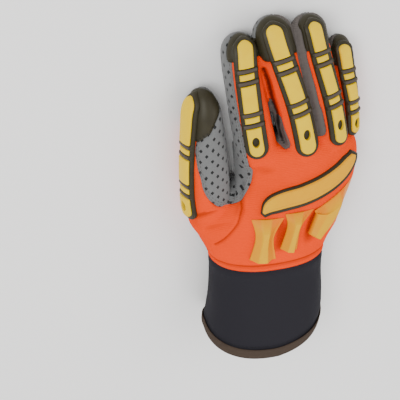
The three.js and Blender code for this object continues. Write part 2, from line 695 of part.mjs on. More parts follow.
function addFingerGuard(name) {
  const digit = digits[name];
  const guardLength = (digit.guard[1] - digit.guard[0]) * digit.length;
  const half = digit.guardWidth / 2;
  const padHalf = half - padMargin;
  const [lowerBar, upperBar] = digit.bars.map((share) => share * guardLength);
  const ribOffset = (barLength + ribLength) / 2 + seatGap;
  const ribMiddles = [lowerBar, upperBar].flatMap((bar) => [bar - ribOffset, bar + ribOffset]);
  const ribRows = ribMiddles.flatMap((middle) => ribProfile.map(({ side, high }) => (
    { at: middle + (side * ribLength) / 2, half, high }
  )));
  const ends = roundedRows(0, guardLength, half, true, true, guardBase);
  const baseRows = [...ends, ...ribRows].sort((a, b) => a.at - b.at);
  addPart(`${name}_guard`, moulding(digit, baseRows, guardSeat, guardBevel), darkRubber);

  const ribSide = ribLength / 2 + seatGap;
  const pads = [
    ["knuckle_pad", padMargin, ribMiddles[0] - ribSide, true, false],
    ["lower_bar", lowerBar - barLength / 2, lowerBar + barLength / 2, false, false],
    ["middle_pad", ribMiddles[1] + ribSide, ribMiddles[2] - ribSide, false, false],
    ["upper_bar", upperBar - barLength / 2, upperBar + barLength / 2, false, false],
    ["tip_pad", ribMiddles[3] + ribSide, guardLength - padMargin, false, true],
  ];
  for (const [padName, from, to, roundFrom, roundTo] of pads) {
    const rows = roundedRows(from, to, padHalf, roundFrom, roundTo, padTop);
    const pad = moulding(digit, rows, guardBase + seatGap, padBevel);
    const made = padName === "knuckle_pad" ? pad.subtract(recess(digit, (from + to) / 2)) : pad;
    addPart(`${name}_${padName}`, made, yellowRubber);
  }
}

// The oval hole through the knuckle pad of a finger guard
function recess(digit, at) {
  const oval = (height) => steps(8).slice(1).map((turn) => {
    const angle = 2 * Math.PI * turn;
    const along = at + (recessLength / 2) * Math.cos(angle);
    const across = (recessWidth / 2) * Math.sin(angle);
    return overDigit(digit, digit.guard[0] + along / digit.length, across, height);
  });
  return loft([oval(guardBase), oval(padTop + 1)]);
}

// A moulding over the back of the hand along a middle line, with a row of heights across it
function backMoulding(rows, count, low, heights) {
  const line = steps(count).map((t) => {
    const place = t * (rows.length - 1);
    const before = Math.min(Math.floor(place), rows.length - 2);
    const [row, next, part] = [rows[before], rows[before + 1], place - before];
    return {
      x: handX(mix(row.x, next.x, part)),
      y: handY(mix(row.y, next.y, part)),
      half: (mix(row.width, next.width, part) * handWidth) / 2,
      slant: mix(row.slant, next.slant, part),
    };
  });
  const grid = (height) => line.map((row, i) => {
    const [a, b] = [line[Math.max(i - 1, 0)], line[Math.min(i + 1, line.length - 1)]];
    const length = Math.hypot(b.x - a.x, b.y - a.y);
    const [alongX, alongY] = [(b.x - a.x) / length, (b.y - a.y) / length];
    return heights.map(({ across, top, reach }) => {
      const out = (height === null ? across * reach : across) * row.half;
      const x = row.x - (alongY + row.slant * alongX) * out;
      const y = row.y + (alongX - row.slant * alongY) * out;
      return backOver(row, x, y, height === null ? top : height);
    });
  });
  return slab(grid(low), grid(null));
}

const frameProfile = [-1, -0.5, 0, 0.5, 1].map((across) => (
  { across, top: guardBase, reach: 0.97 }
));
const padProfile = [
  { across: -1, top: padTop - 0.5, reach: 0.9 },
  { across: -0.45, top: padTop, reach: 1 },
  { across: 0, top: padTop + 0.3, reach: 1 },
  { across: 0.45, top: padTop + 0.1, reach: 1 },
  { across: 1, top: padTop - 0.5, reach: 0.9 },
];
const ridgeProfile = [
  { across: -1, top: bolsterFoot, reach: 0.96 },
  { across: -0.45, top: bolsterTop - 0.6, reach: 1 },
  { across: 0.1, top: bolsterTop, reach: 1 },
  { across: 0.6, top: bolsterTop - 1.2, reach: 1 },
  { across: 1, top: bolsterFoot, reach: 0.96 },
];

function addBackGuards() {
  const straight = knuckleGuard.map((row) => ({ ...row, slant: 0 }));
  const frame = backMoulding(straight, knuckleGuardSteps, guardSeat, frameProfile);
  addPart("knuckle_guard", frame, darkRubber);
  const inner = straight.slice(1, -1).map((row) => ({
    ...row, width: row.width - (2 * knuckleMargin) / handWidth,
  }));
  const pad = backMoulding(inner, knuckleGuardSteps - 3, guardBase + seatGap, padProfile);
  addPart("knuckle_guard_pad", pad, ochreRubber);
  Object.entries(bolsters).forEach(([name, rows]) => {
    const bolster = backMoulding(rows, bolsterSteps, guardSeat, ridgeProfile);
    addPart(`${name}_bolster`, bolster, ochreRubber);
  });
}

addSkinPanels();
addCuff();
addPatches();
digitNames.forEach(addFingerGuard);
addBackGuards();

export default group;
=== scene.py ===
# %% [markdown]
# An impact work glove for the right hand, lying palm down on a pale floor. The back is orange ribbed
# knit, the palm grey synthetic suede with printed grip dots, the cuff black neoprene. Yellow rubber
# guards on dark bases run over every finger, and more rubber lies over the knuckles.
# Lengths are typed in millimetres and turned into metres where a vertex is placed.

# %% Tools and frame
import bisect
import math
import bmesh
import bpy
import numpy as np
from mathutils import Matrix, Vector, noise
from mathutils.bvhtree import BVHTree
from mathutils.kdtree import KDTree


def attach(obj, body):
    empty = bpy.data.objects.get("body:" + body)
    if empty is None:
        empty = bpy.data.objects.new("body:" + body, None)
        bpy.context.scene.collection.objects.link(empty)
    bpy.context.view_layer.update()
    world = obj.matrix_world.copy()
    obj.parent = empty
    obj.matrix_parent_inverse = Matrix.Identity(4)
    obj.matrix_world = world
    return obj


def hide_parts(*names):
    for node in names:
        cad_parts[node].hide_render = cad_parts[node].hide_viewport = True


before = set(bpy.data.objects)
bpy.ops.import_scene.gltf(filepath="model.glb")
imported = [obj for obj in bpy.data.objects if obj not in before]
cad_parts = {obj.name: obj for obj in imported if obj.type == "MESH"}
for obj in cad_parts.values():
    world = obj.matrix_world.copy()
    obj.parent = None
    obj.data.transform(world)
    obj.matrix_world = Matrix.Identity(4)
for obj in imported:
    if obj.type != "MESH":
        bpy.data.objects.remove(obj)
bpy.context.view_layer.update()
MM = 0.001
# In edit mode edges are picked, so that a bevel takes no edge that only joins two picked corners
bpy.context.tool_settings.mesh_select_mode = (False, True, False)
print("frame nodes", len(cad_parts))


def select_only(*objects):
    bpy.ops.object.select_all(action="DESELECT")
    for obj in objects:
        obj.select_set(True)
    bpy.context.view_layer.objects.active = objects[0]


def named(name):
    obj = bpy.context.object
    obj.name = obj.data.name = name
    return obj


def coordinates(obj):
    flat = np.empty(len(obj.data.vertices) * 3)
    obj.data.vertices.foreach_get("co", flat)
    return flat.reshape(-1, 3)


def place_vertices(obj, points):
    obj.data.vertices.foreach_set("co", np.asarray(points, float).ravel())
    obj.data.update()


def store(obj, name, values):
    obj.data.attributes.new(name, "FLOAT", "POINT").data.foreach_set("value", values)


def apply_modifier(obj, kind, **settings):
    select_only(obj)
    bpy.ops.object.modifier_add(type=kind)
    modifier = obj.modifiers[-1]
    for key, value in settings.items():
        setattr(modifier, key, value)
    bpy.ops.object.modifier_apply(modifier=modifier.name)


def remeshed(obj, voxel):
    select_only(obj)
    obj.data.remesh_voxel_size = voxel * MM
    bpy.ops.object.voxel_remesh()
    bpy.ops.object.shade_smooth()
    return obj


# %% [markdown]
# The camera stands over the fingertips and looks down onto the back of the hand, a little from the
# thumb's side, so the thumb guard shows from the side and the knuckles from above. A long lens
# keeps the fingers and the cuff at nearly one scale. The floor is a large pale sheet, so nothing
# but the glove's own soft shadow is on it.

# %% Camera, floor and light
camera = bpy.data.objects.new("camera", bpy.data.cameras.new("camera"))
bpy.context.collection.objects.link(camera)
bpy.context.scene.camera = camera
camera.data.lens, camera.data.sensor_width = 109.46, 36
right, up = Vector((0.9659, 0, 0.2588)), Vector((0.1375, 0.8471, -0.5133))
towards = right.cross(up)
target, distance = Vector((-49.4, -9.4, 17.9)), 900
camera.matrix_world = Matrix.Translation((target + distance * towards) * MM) @ Matrix(
    (right, up, towards)).transposed().to_4x4()

bpy.ops.mesh.primitive_plane_add(size=6)
floor = named("floor")

for name, place, size, power in [
    ("key_light", (-0.7, 0.5, 1.15), 0.7, 15),
    ("fill_light", (0.9, 0.2, 0.9), 1.0, 7),
    ("rim_light", (0.1, -1.1, 0.8), 0.8, 7),
]:
    bpy.ops.object.light_add(type="AREA", location=place)
    light = named(name)
    light.data.size, light.data.energy = size, power
    light.rotation_euler = (-Vector(place)).to_track_quat("-Z", "Y").to_euler()
world = bpy.data.worlds.new("studio")
bpy.context.scene.world = world
world.use_nodes = True
world.node_tree.nodes["Background"].inputs["Color"].default_value = (1, 0.98, 0.95, 1)
world.node_tree.nodes["Background"].inputs["Strength"].default_value = 0.8
print("camera at", tuple(round(v, 3) for v in camera.matrix_world.translation))

# %% [markdown]
# The hand is described by sections across it, and every digit by sections along its own middle
# line. It could be sculpted by eye instead, but sections keep it to the sizes of the frame. A
# section is a rounded oval, a little squarer than an ellipse, as sewn cloth is.

# %% Sections of the hand, the cuff and the digits
UNDERSIDE = 1.5
WRIST_Y, HAND_LENGTH, HAND_WIDTH, HAND_HEIGHT, HAND_X = -60, 100, 100, 45, 12
CUFF_LENGTH, CUFF_WIDTH, CUFF_HEIGHT, CUFF_X = 62, 94, 58, 1.5
WAIST, SPREAD, BOXINESS = 0.38, 1.15, 0.86
LEAN = 0.35  # how far the sides of a moulding follow the round of what it lies on

# along, left, right, top, skew
HAND = [
    (-0.02, -0.525, 0.33, 1.11, 0), (0.1, -0.575, 0.385, 1.07, 0.02),
    (0.22, -0.635, 0.46, 1.035, 0.04), (0.36, -0.69, 0.505, 1.01, 0.06),
    (0.52, -0.48, 0.55, 1, 0.05), (0.62, -0.38, 0.575, 0.99, 0.05),
    (0.7, -0.355, 0.59, 0.975, 0.06), (0.82, -0.36, 0.595, 0.93, 0.08),
    (0.92, -0.35, 0.565, 0.86, 0.12), (1, -0.28, 0.52, 0.72, 0.15),
]
# along, left, right, top, lift
CUFF = [
    (0, -0.457, 0.473, 0.865, 0), (0.3, -0.462, 0.473, 0.895, 0.5),
    (0.62, -0.477, 0.485, 0.955, 1), (0.9, -0.505, 0.468, 1.015, 1),
    (1.3, -0.53, 0.37, 1.03, 1),
]
# share, yaw, pitch, roll, width, thickness
DIGITS = {
    "thumb": dict(
        root=(-43, -32, 18.5), length=114, width=35, thickness=31.5, guard=(0.11, 0.99),
        guard_width=15.5, bars=(0.25, 0.565), rows=[
            (0, -2, 1, -70, 0.7, 0.7), (0.12, -2, 1, -71, 0.93, 0.92), (0.3, -2, 1, -74, 1, 1),
            (0.6, -2, 2, -74, 0.93, 0.9), (0.82, -3, 3, -70, 0.82, 0.74)]),
    "index": dict(
        root=(-7.4, 26, 24.5), length=96, width=29.2, thickness=31, guard=(0.1, 0.98),
        guard_width=16.2, bars=(0.328, 0.686), rows=[
            (0, -13, 2, -10, 1.07, 1), (0.35, -10, 5, -6, 0.98, 0.91),
            (0.66, -8, 10, 0, 0.92, 0.84), (0.85, -3, 14, 4, 0.88, 0.8)]),
    "middle": dict(
        root=(25.4, 26, 26), length=108, width=28.4, thickness=31, guard=(0.06, 0.97),
        guard_width=17, bars=(0.362, 0.692), rows=[
            (0, -13, 2, 5, 0.95, 1), (0.38, -14, 5, 10, 0.97, 0.9),
            (0.7, -14, 10, 2, 1.04, 0.84), (0.87, -9, 15, -5, 1.02, 0.8)]),
    "ring": dict(
        root=(47.2, 28, 23), length=103, width=25, thickness=29, guard=(0.07, 0.98),
        guard_width=14.7, bars=(0.358, 0.7), rows=[
            (0, -9, 1, 18, 1, 1), (0.38, -12, 4, 21, 1, 0.91),
            (0.7, -11, 9, 12, 1.04, 0.85), (0.88, -9, 12, 8, 1.02, 0.81)]),
    "little": dict(
        root=(59, 27, 16), length=82.5, width=20, thickness=22.5, guard=(0.1, 0.96),
        guard_width=12.2, bars=(0.31, 0.65), rows=[
            (0, -1, 0, 42, 0.9, 0.88), (0.38, -3, 2, 30, 0.97, 0.9),
            (0.7, -5, 6, 12, 0.92, 0.82), (0.85, -4, 10, 6, 0.88, 0.8)]),
}

# %% [markdown]
# Between two rows of a table the values run in a smooth curve, so the cloth has no corners where a
# row stands. A moulding on the cloth is placed by the same points, but it rises more upright than
# the cloth faces there, as a thick block does that is bent over from its flat mould.

# %% Points on the sections
def table_at(rows, place):
    """The values of a table at a place, along a smooth curve through its rows."""
    rows = np.asarray(rows, float)
    xs = rows[:, 0]
    i = min(max(bisect.bisect_right(xs.tolist(), place) - 1, 0), len(rows) - 2)

    def slope(j):
        a, b = max(j - 1, 0), min(j + 1, len(rows) - 1)
        return (rows[b, 1:] - rows[a, 1:]) / (xs[b] - xs[a])

    step = xs[i + 1] - xs[i]
    t = min(max((place - xs[i]) / step, -0.3), 1.3)
    if t < 0 or t > 1:
        end = i if t < 0 else i + 1
        return rows[end, 1:] + slope(end) * (place - xs[end])
    return ((1 + 2 * t) * (1 - t) ** 2 * rows[i, 1:] + t * (1 - t) ** 2 * step * slope(i)
            + t * t * (3 - 2 * t) * rows[i + 1, 1:] + t * t * (t - 1) * step * slope(i + 1))


def bent(value, power=BOXINESS):
    return math.copysign(abs(value) ** power, value)


class Digit:
    """The middle line and the size of a digit, worked out once at many places along it."""

    def __init__(self, root, length, width, thickness, rows, **rest):
        self.length, self.width, self.thickness = length, width, thickness
        self.rest, self.last = rest, rows[-1][0]
        self.shares = np.linspace(-0.12, 1.12, 249)
        frames = []
        for share in self.shares:
            yaw, pitch, roll, w, t = table_at(rows, min(max(share, 0), self.last + 0.1))
            yaw, pitch, roll = map(math.radians, (yaw, pitch, roll))
            heading = Vector((math.sin(yaw), math.cos(yaw), 0))
            flat = Vector((heading.y, -heading.x, 0))
            along = heading * math.cos(pitch) - Vector((0, 0, math.sin(pitch)))
            lift = Vector((0, 0, math.cos(pitch))) + heading * math.sin(pitch)
            back = lift * math.cos(roll) + flat * math.sin(roll)
            side = flat * math.cos(roll) - lift * math.sin(roll)
            frames.append((along, side, back, min(w, 1.08), min(t, 1.02)))
        step = self.shares[1] - self.shares[0]
        walk = np.cumsum([np.array(f[0]) * step * length for f in frames], axis=0)
        start = np.array([np.interp(0, self.shares, walk[:, k]) for k in range(3)])
        middle = walk - start + np.array(root)
        sizes = np.array([(f[3], f[4]) for f in frames])
        self.data = np.hstack([middle, [f[1] for f in frames], [f[2] for f in frames], sizes])

    def at(self, share):
        row = [np.interp(share, self.shares, column) for column in self.data.T]
        middle, side, back = Vector(row[0:3]), Vector(row[3:6]), Vector(row[6:9])
        tip = min(max((share - self.last) / (1 - self.last), 0), 1)
        size = math.sqrt(max(1 - tip ** 2.1, 0))
        half = self.width / 2 * row[9] * size, self.thickness / 2 * row[10] * size
        return middle, side.normalized(), back.normalized(), half

    def point(self, share, angle, height=0.0):
        """A point at an angle from the middle of the digit's back, height above its cloth."""
        middle, side, back, (wide, thick) = self.at(share)
        s, c = math.sin(angle), math.cos(angle)
        reach = math.hypot(s * thick, c * wide) or 1
        across = wide * bent(s) + height * s * thick / reach
        upward = thick * bent(c) + height * c * wide / reach
        point = middle + side * across + back * upward
        point.z = max(point.z, UNDERSIDE * 0.4 - min(height, 0))
        return point

    def over(self, share, across, height):
        """A point over the digit's back, across from its middle line."""
        wide = self.at(min(share, self.last + 0.45 * (1 - self.last)))[3][0]
        sine = min((abs(across) / wide) ** (1 / BOXINESS), 0.95)
        angle = math.copysign(math.asin(sine), across)
        rise = self.point(share, LEAN * angle, height) - self.point(share, LEAN * angle)
        return self.point(share, angle) + rise


digits = {name: Digit(**values) for name, values in DIGITS.items()}


def section_point(left, right, top, bottom, skew, y, angle, height=0.0):
    """A point of the hand or the cuff, at an angle from its top, height above its cloth."""
    waist = top * WAIST
    s, c = math.sin(angle), math.cos(angle)
    half = (right - left) / 2
    over = (top - waist) * (1 - skew * bent(s))
    rise = over if c > 0 else (waist - bottom) * SPREAD
    reach = math.hypot(s * rise, c * half) or 1
    x = (left + right) / 2 + half * bent(s) + height * s * rise / reach
    power = BOXINESS if c > 0 else BOXINESS * 0.7
    z = waist + rise * bent(c, power) + height * c * half / reach
    return Vector((x, y, max(z, bottom - height)))


def hand_point(along, angle, height=0.0):
    left, right, top, skew = table_at(HAND, along)
    return section_point(HAND_X + left * HAND_WIDTH, HAND_X + right * HAND_WIDTH,
                         top * HAND_HEIGHT, UNDERSIDE, skew,
                         WRIST_Y + along * HAND_LENGTH, angle, height)


def back_point(x, y, height):
    """A point over the back of the hand, seen from above at x and y."""
    along = (y - WRIST_Y) / HAND_LENGTH
    left, right, top, skew = table_at(HAND, along)
    middle = HAND_X + (left + right) / 2 * HAND_WIDTH
    share = min(abs((x - middle) / ((right - left) / 2 * HAND_WIDTH)), 0.99)
    return hand_point(along, math.copysign(math.asin(share ** (1 / BOXINESS)), x - middle), height)


def back_over(middle, x, y, height):
    """The same over a moulding whose middle lies at middle, with steeper sides."""
    lean_x, lean_y = middle.x + LEAN * (x - middle.x), middle.y + LEAN * (y - middle.y)
    rise = back_point(lean_x, lean_y, height) - back_point(lean_x, lean_y, 0)
    return back_point(x, y, 0) + rise


print("digits", {name: round(digit.at(1)[0].y) for name, digit in digits.items()})

# %% [markdown]
# The whole hand is one soft form first. Each digit starts as a sphere whose rings are moved to the
# digit's sections, and the palm starts as a cylinder. Joined and remeshed they become one skin,
# and smoothing it gives the rounded webs that stretched cloth has between two fingers.

# %% Soft form of the hand
SKIN_VOXEL, SKIN_SMOOTHING = 1.1, 8
# The space between thumb and palm: its outline at the floor, how far it leans to the thumb and to
# the fingers for each millimetre of height, and the heights that it is cut between
THUMB_GAP = [(-22, 34), (-20, 25), (-19, 16), (-17.4, 2), (-17, -4), (-18, -9), (-19.6, -3.5),
             (-21.6, 6), (-23.5, 17), (-25, 26)]
GAP_LEAN, GAP_LOW, GAP_HIGH = (-0.295, 0.59), -12, 56


def swept(name, place, segments=40, rings=56):
    """A sphere whose rings and segments are moved to place(share, angle)."""
    bpy.ops.mesh.primitive_uv_sphere_add(segments=segments, ring_count=rings, radius=1)
    obj = named(name)
    points = []
    for x, y, z in coordinates(obj):
        share = math.acos(max(-1, min(1, -z))) / math.pi
        points.append(place(share, math.atan2(x, y)) * MM)
    place_vertices(obj, points)
    return obj


def digit_place(digit):
    def place(share, angle):
        closed = 0.07
        shrink = math.sqrt(max(1 - (1 - min(share / closed, 1)) ** 2, 0))
        along = -0.06 + share * 1.06
        if along > digit.last:
            tip = (along - digit.last) / (1 - digit.last)
            along = digit.last + (1 - digit.last) * math.sin(tip * math.pi / 2)
        middle = digit.at(along)[0]
        return middle + (digit.point(along, angle) - middle) * shrink
    return place


def hand_place(share, angle):
    start, end = 0.04, 0.94
    along = -0.1 + 1.1 * share
    closing = min(share / start, 1)
    if share > end:
        closing = math.sqrt(max(1 - ((share - end) / (1 - end)) ** 2, 0))
    point = hand_point(along, angle)
    left, right, top, _ = table_at(HAND, along)
    middle = Vector((HAND_X + (left + right) / 2 * HAND_WIDTH, point.y, top * HAND_HEIGHT * 0.45))
    return middle + (point - middle) * closing


forms = [swept(name + "_form", digit_place(digit)) for name, digit in digits.items()]
forms.append(swept("hand_form", hand_place, 64, 80))
select_only(*reversed(forms))
bpy.ops.object.join()
skin = named("skin")
remeshed(skin, SKIN_VOXEL)
bpy.ops.mesh.primitive_cylinder_add(vertices=len(THUMB_GAP), radius=1, depth=2)
wedge = named("thumb_gap")
places = []
for x, y, z in coordinates(wedge):
    k = round(math.atan2(x, y) / (2 * math.pi) * len(THUMB_GAP)) % len(THUMB_GAP)
    height = (GAP_LOW + GAP_HIGH) / 2 + (GAP_HIGH - GAP_LOW) / 2 * z
    across, along = (at + lean * height for at, lean in zip(THUMB_GAP[k], GAP_LEAN))
    places.append(Vector((across, along, height)) * MM)
place_vertices(wedge, places)
apply_modifier(skin, "BOOLEAN", operation="DIFFERENCE", object=wedge)
bpy.data.objects.remove(wedge)
remeshed(skin, SKIN_VOXEL)
apply_modifier(skin, "SMOOTH", factor=0.5, iterations=SKIN_SMOOTHING)
select_only(skin)
bpy.ops.object.mode_set(mode="EDIT")
bpy.ops.mesh.select_all(action="SELECT")
bpy.ops.mesh.bisect(plane_co=(0, WRIST_Y * MM, 0), plane_no=(0, 1, 0), clear_inner=True)
bpy.ops.object.mode_set(mode="OBJECT")
print("skin", len(skin.data.vertices))

# %% [markdown]
# The skin is sewn from panels. Every point of it belongs to the panel that lies nearest in the
# frame, and the cloth is cut where two panels are equally near. A few seams that show are drawn
# closer: the strips between the fingers end in loops on the back of the hand, and the thumb's cap
# ends on a slant. A seam pulls the cloth in, so the surface sinks along each cut.

# %% Panels and seams
PANELS = ["back_panel", "palm_panel", "palm_heel", "thumb_crotch_patch", "index_middle_side",
          "middle_ring_side", "ring_little_side"] + [name + "_cap" for name in digits]


def tree_of(obj):
    mesh = obj.data
    return BVHTree.FromPolygons([v.co for v in mesh.vertices], [p.vertices for p in mesh.polygons])


def near_segment(x, y, start, end):
    """The share of a segment where it passes a point, and how far away it passes."""
    (x0, y0), (x1, y1) = start, end
    t = ((x - x0) * (x1 - x0) + (y - y0) * (y1 - y0)) / ((x1 - x0) ** 2 + (y1 - y0) ** 2)
    t = min(max(t, 0), 1)
    return t, math.hypot(x - x0 - t * (x1 - x0), y - y0 - t * (y1 - y0))


def inside_loop(x, y, start, end):
    """How far a point lies inside a strip whose half width changes from its start to its end."""
    t, away = near_segment(x, y, start[:2], end[:2])
    return start[2] + t * (end[2] - start[2]) - away


def away_from_line(x, y, line):
    return min(near_segment(x, y, a, b)[1] for a, b in zip(line, line[1:]))


# Where the side strips end on the back of the hand: x, y and half width at the start and the end
WEB_LOOPS = {
    "index_middle_side": ((5.2, 58, 0.9), (10, 37.8, 3.6)),
    "middle_ring_side": ((33.5, 62, 2.6), (36.8, 44, 3.4)),
}
# The valley between index and middle finger, where the orange knit hides the strip above a height
VALLEY, VALLEY_Z = ((-9, 96, 7), (9, 36, 7)), 13
RING_SEAM = math.radians(-47)  # where the ring finger's side strip starts, from its back
# The slanted edge of the thumb's cap: the shares and the angles between which it rises
CAP_EDGE, CAP_RISE, CAP_ANGLE, CAP_TURN = 0.676, 0.2, 0.7, 1.57
FAR, SEAM_REACH, SNAP, FIELD_PASSES, SEAM_PASSES = 20 * MM, 4 * MM, 0.22 * MM, 4, 8


def round_digit(digit, point):
    """The share of a digit that a point lies at, its angle round it and its nearness to it."""
    i = int(np.argmin(((digit.data[:, 0:3] - np.array(point)) ** 2).sum(axis=1)))
    middle, side, back, half = digit.at(digit.shares[i])
    x, z = (point - middle).dot(side), (point - middle).dot(back)
    return digit.shares[i], math.atan2(x, z), math.hypot(x / max(half[0], 4), z / max(half[1], 4))


panel_trees = {name: tree_of(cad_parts[name]) for name in PANELS}
points = [v.co.copy() for v in skin.data.vertices]
normals = [v.normal.copy() for v in skin.data.vertices]
reach = np.array([[(panel_trees[name].find_nearest(p, FAR)[3] or FAR) for p in points]
                  for name in PANELS])
rows_of = {name: i for i, name in enumerate(PANELS)}


def nearer(name, k, gap):
    """Draws a panel at least this near to a point of the skin."""
    reach[rows_of[name], k] = min(reach[rows_of[name], k], max(gap, 0) * MM)


def farther(gap, k, *names):
    """Keeps panels at least this far from a point of the skin."""
    for name in names:
        reach[rows_of[name], k] = max(reach[rows_of[name], k], gap * MM)


for k, (point, normal) in enumerate(zip(points, normals)):
    x, y, z = place = point / MM
    if y > 22 and x > -14 and normal.z > -0.2:
        reach[rows_of["palm_panel"], k] += 6 * MM
    for name, loop in WEB_LOOPS.items():
        inside = inside_loop(x, y, *loop) if normal.z > 0 else -9
        if inside > -4:
            nearer(name, k, -inside)
            farther(inside, k, "back_panel")
    in_loop = inside_loop(x, y, *WEB_LOOPS["index_middle_side"]) >= 0
    if z > VALLEY_Z and not in_loop and inside_loop(x, y, *VALLEY) > 0:
        reach[rows_of["index_middle_side"], k] += min(z - VALLEY_Z, 4) * MM
    if y > 20 and x < -18:
        share, angle, near = round_digit(digits["thumb"], place)
        if share > 0.6 and near < 1.3 and 0.4 < angle < 2.45:
            edge = CAP_EDGE + CAP_RISE * min(max((angle - CAP_ANGLE) / CAP_TURN, 0), 1)
            past = (share - edge) * digits["thumb"].length
            farther(past, k, "palm_panel", "thumb_crotch_patch")
            if past > 0:
                nearer("thumb_cap", k, 0)
            else:
                farther(-past, k, "thumb_cap")
    if y > 46 and 18 < x < 50 and z > 6:
        share, angle, near = round_digit(digits["ring"], place)
        if 0.12 < share < 0.93 and near < 1.3 and -1.9 < angle < 0:
            past = (RING_SEAM - angle) * digits["ring"].width / 2
            farther(past, k, "back_panel", "ring_cap")
            nearer("middle_ring_side", k, -past)
edges = np.array([e.vertices[:] for e in skin.data.edges])
fields = np.empty_like(reach)
for i in range(len(PANELS)):
    others = np.delete(reach, i, axis=0).min(axis=0)
    field = np.clip(others - reach[i], -SEAM_REACH, SEAM_REACH)
    for _ in range(FIELD_PASSES):
        total, count = field.copy(), np.ones(len(field))
        for a, b in ((0, 1), (1, 0)):
            np.add.at(total, edges[:, a], field[edges[:, b]])
            np.add.at(count, edges[:, a], 1)
        field = total / count
    fields[i] = field

# %% [markdown]
# A real glove is cut flat and then sewn. Here the skin has its form already, so it is cut where one
# panel gives way to the next, and a crumb that is cut off goes to the panel round it. A cut
# across small faces is ragged and a sewn seam is even, so the points of each seam are evened out.

# %% Cut along the seams
bm = bmesh.new()
bm.from_mesh(skin.data)
layers = [bm.verts.layers.float.new(name) for name in PANELS]
bm.verts.ensure_lookup_table()
for vert in bm.verts:
    for layer, value in zip(layers, fields[:, vert.index]):
        vert[layer] = value
for layer in layers:
    for vert in bm.verts:
        if abs(vert[layer]) < SNAP:
            vert[layer] = 0
    for edge in list(bm.edges):
        a, b = edge.verts
        if a[layer] * b[layer] < 0:
            made = bmesh.utils.edge_split(edge, a, a[layer] / (a[layer] - b[layer]))[1]
            made[layer] = 0
    on_line = [vert for vert in bm.verts if vert[layer] == 0]
    bmesh.ops.connect_verts(bm, verts=on_line)

bm.faces.ensure_lookup_table()
owner = {}
for face in bm.faces:
    sums = [sum(vert[layer] for vert in face.verts) for layer in layers]
    owner[face.index] = int(np.argmax(sums))
bm.faces.index_update()


def islands(bm, owner):
    """Groups of joined faces that have one owner."""
    seen, groups = set(), []
    for face in bm.faces:
        if face.index in seen:
            continue
        stack, group = [face], []
        seen.add(face.index)
        while stack:
            current = stack.pop()
            group.append(current)
            for edge in current.edges:
                for other in edge.link_faces:
                    if other.index not in seen and owner[other.index] == owner[face.index]:
                        seen.add(other.index)
                        stack.append(other)
        groups.append(group)
    return groups


groups = islands(bm, owner)
largest = {}
for group in groups:
    key = owner[group[0].index]
    largest[key] = max(largest.get(key, 0), len(group))
for group in groups:
    key = owner[group[0].index]
    if len(group) < largest[key]:
        around = [owner[other.index] for face in group for edge in face.edges
                  for other in edge.link_faces if owner[other.index] != key]
        if around:
            for face in group:
                owner[face.index] = max(set(around), key=around.count)
print("panels", {PANELS[k]: n for k, n in largest.items()})

seam_edges = [edge for edge in bm.edges
              if len({owner[face.index] for face in edge.link_faces}) > 1]
on_seam = {vert for edge in seam_edges for vert in edge.verts}
neighbours = {}
for edge in seam_edges:
    a, b = edge.verts
    neighbours.setdefault(a, []).append(b)
    neighbours.setdefault(b, []).append(a)
for _ in range(SEAM_PASSES):
    moved = {vert: sum((other.co for other in others), Vector()) / len(others)
             for vert, others in neighbours.items() if len(others) == 2}
    for vert, place in moved.items():
        vert.co = vert.co.lerp(place, 0.5)

# %% [markdown]
# Folds follow how the glove lies: drag lines fan out from the root of the thumb, the cloth sinks
# between the bolsters, short creases lie behind each knuckle, and the cloth is never quite even.
# A seam runs in an arc round the root of the thumb, and at the wrist the knit is turned under,
# which leaves a round lip with a line before it. Between index and middle finger lies a slit.
# The lines, the folds and the slit are also painted darker, as shade.

# %% Folds in the cloth
# x from, y from, x to, y to, width, height, side: 1 on the back and -1 on the palm
FOLDS = [
    (-50, -10, -36, -5, 2.0, 1.6, 1), (-57, -17, -40, -8, 1.8, -1.3, 1),
    (-55, -22, -33, -12, 2.8, 0.9, 1), (-52, -30, -28, -21, 3.0, 0.9, 1),
    (-50, -26, -30, -17, 2.2, -0.6, 1), (-45, -38, -24, -32, 3.4, 0.7, 1),
    (-28, -14, -24, 2, 3.0, -0.6, 1), (6, -18, 3, -46, 4.2, -1.5, 1),
    (33, -14, 28, -44, 4.0, -1.5, 1), (-14, 24, 4, 16, 3.0, -0.5, 1),
    (-6, 14, 10, 20, 3.0, 0.6, 1), (14, 20, 34, 24, 3.0, 0.6, 1),
    (38, 24, 52, 32, 3.0, 0.6, 1), (-40, -40, 30, -44, 4.0, -0.7, -1),
    (-20, 20, 50, 24, 4.0, -0.8, -1), (-50, 0, -20, -10, 4.0, -0.8, -1),
    (-30, -30, -18, 10, 4.0, 0.7, -1),
]
THUMB_ARC = [(-20.5, 9), (-22.4, 0), (-23, -9), (-27.2, -19), (-34.9, -29), (-42.6, -38)]
SLIT = [(-5.5, 96), (-2.7, 88), (0.7, 74.6), (4.7, 62), (6.9, 48), (9.8, 38)]
LIP_Y, LIP_LINE_Y = WRIST_Y + 1.5, WRIST_Y + 4.2


def bell(away, width):
    """1 in the middle of a line or fold, falling off to its sides."""
    return math.exp(-(away / width) ** 2)


def by_thumb(x, y):
    return x < -10 and y < 16


def by_slit(x, y):
    return -9 < x < 14 and 34 < y < 98


def fold_height(x, y, upward):
    total = 0.0
    for x0, y0, x1, y1, width, height, side in FOLDS:
        if side * upward <= 0:
            continue
        length = math.hypot(x1 - x0, y1 - y0)
        t = ((x - x0) * (x1 - x0) + (y - y0) * (y1 - y0)) / length ** 2
        if not 0 < t < 1:
            continue
        away = ((x - x0) * (y1 - y0) - (y - y0) * (x1 - x0)) / length
        away += 1.2 * math.sin(t * 4.1 + x0)
        fade = max(0, 1 - (2 * t - 1) ** 2) ** 0.7
        total += height * fade * bell(away, width) * min(1, abs(upward) * 1.6)
    return total


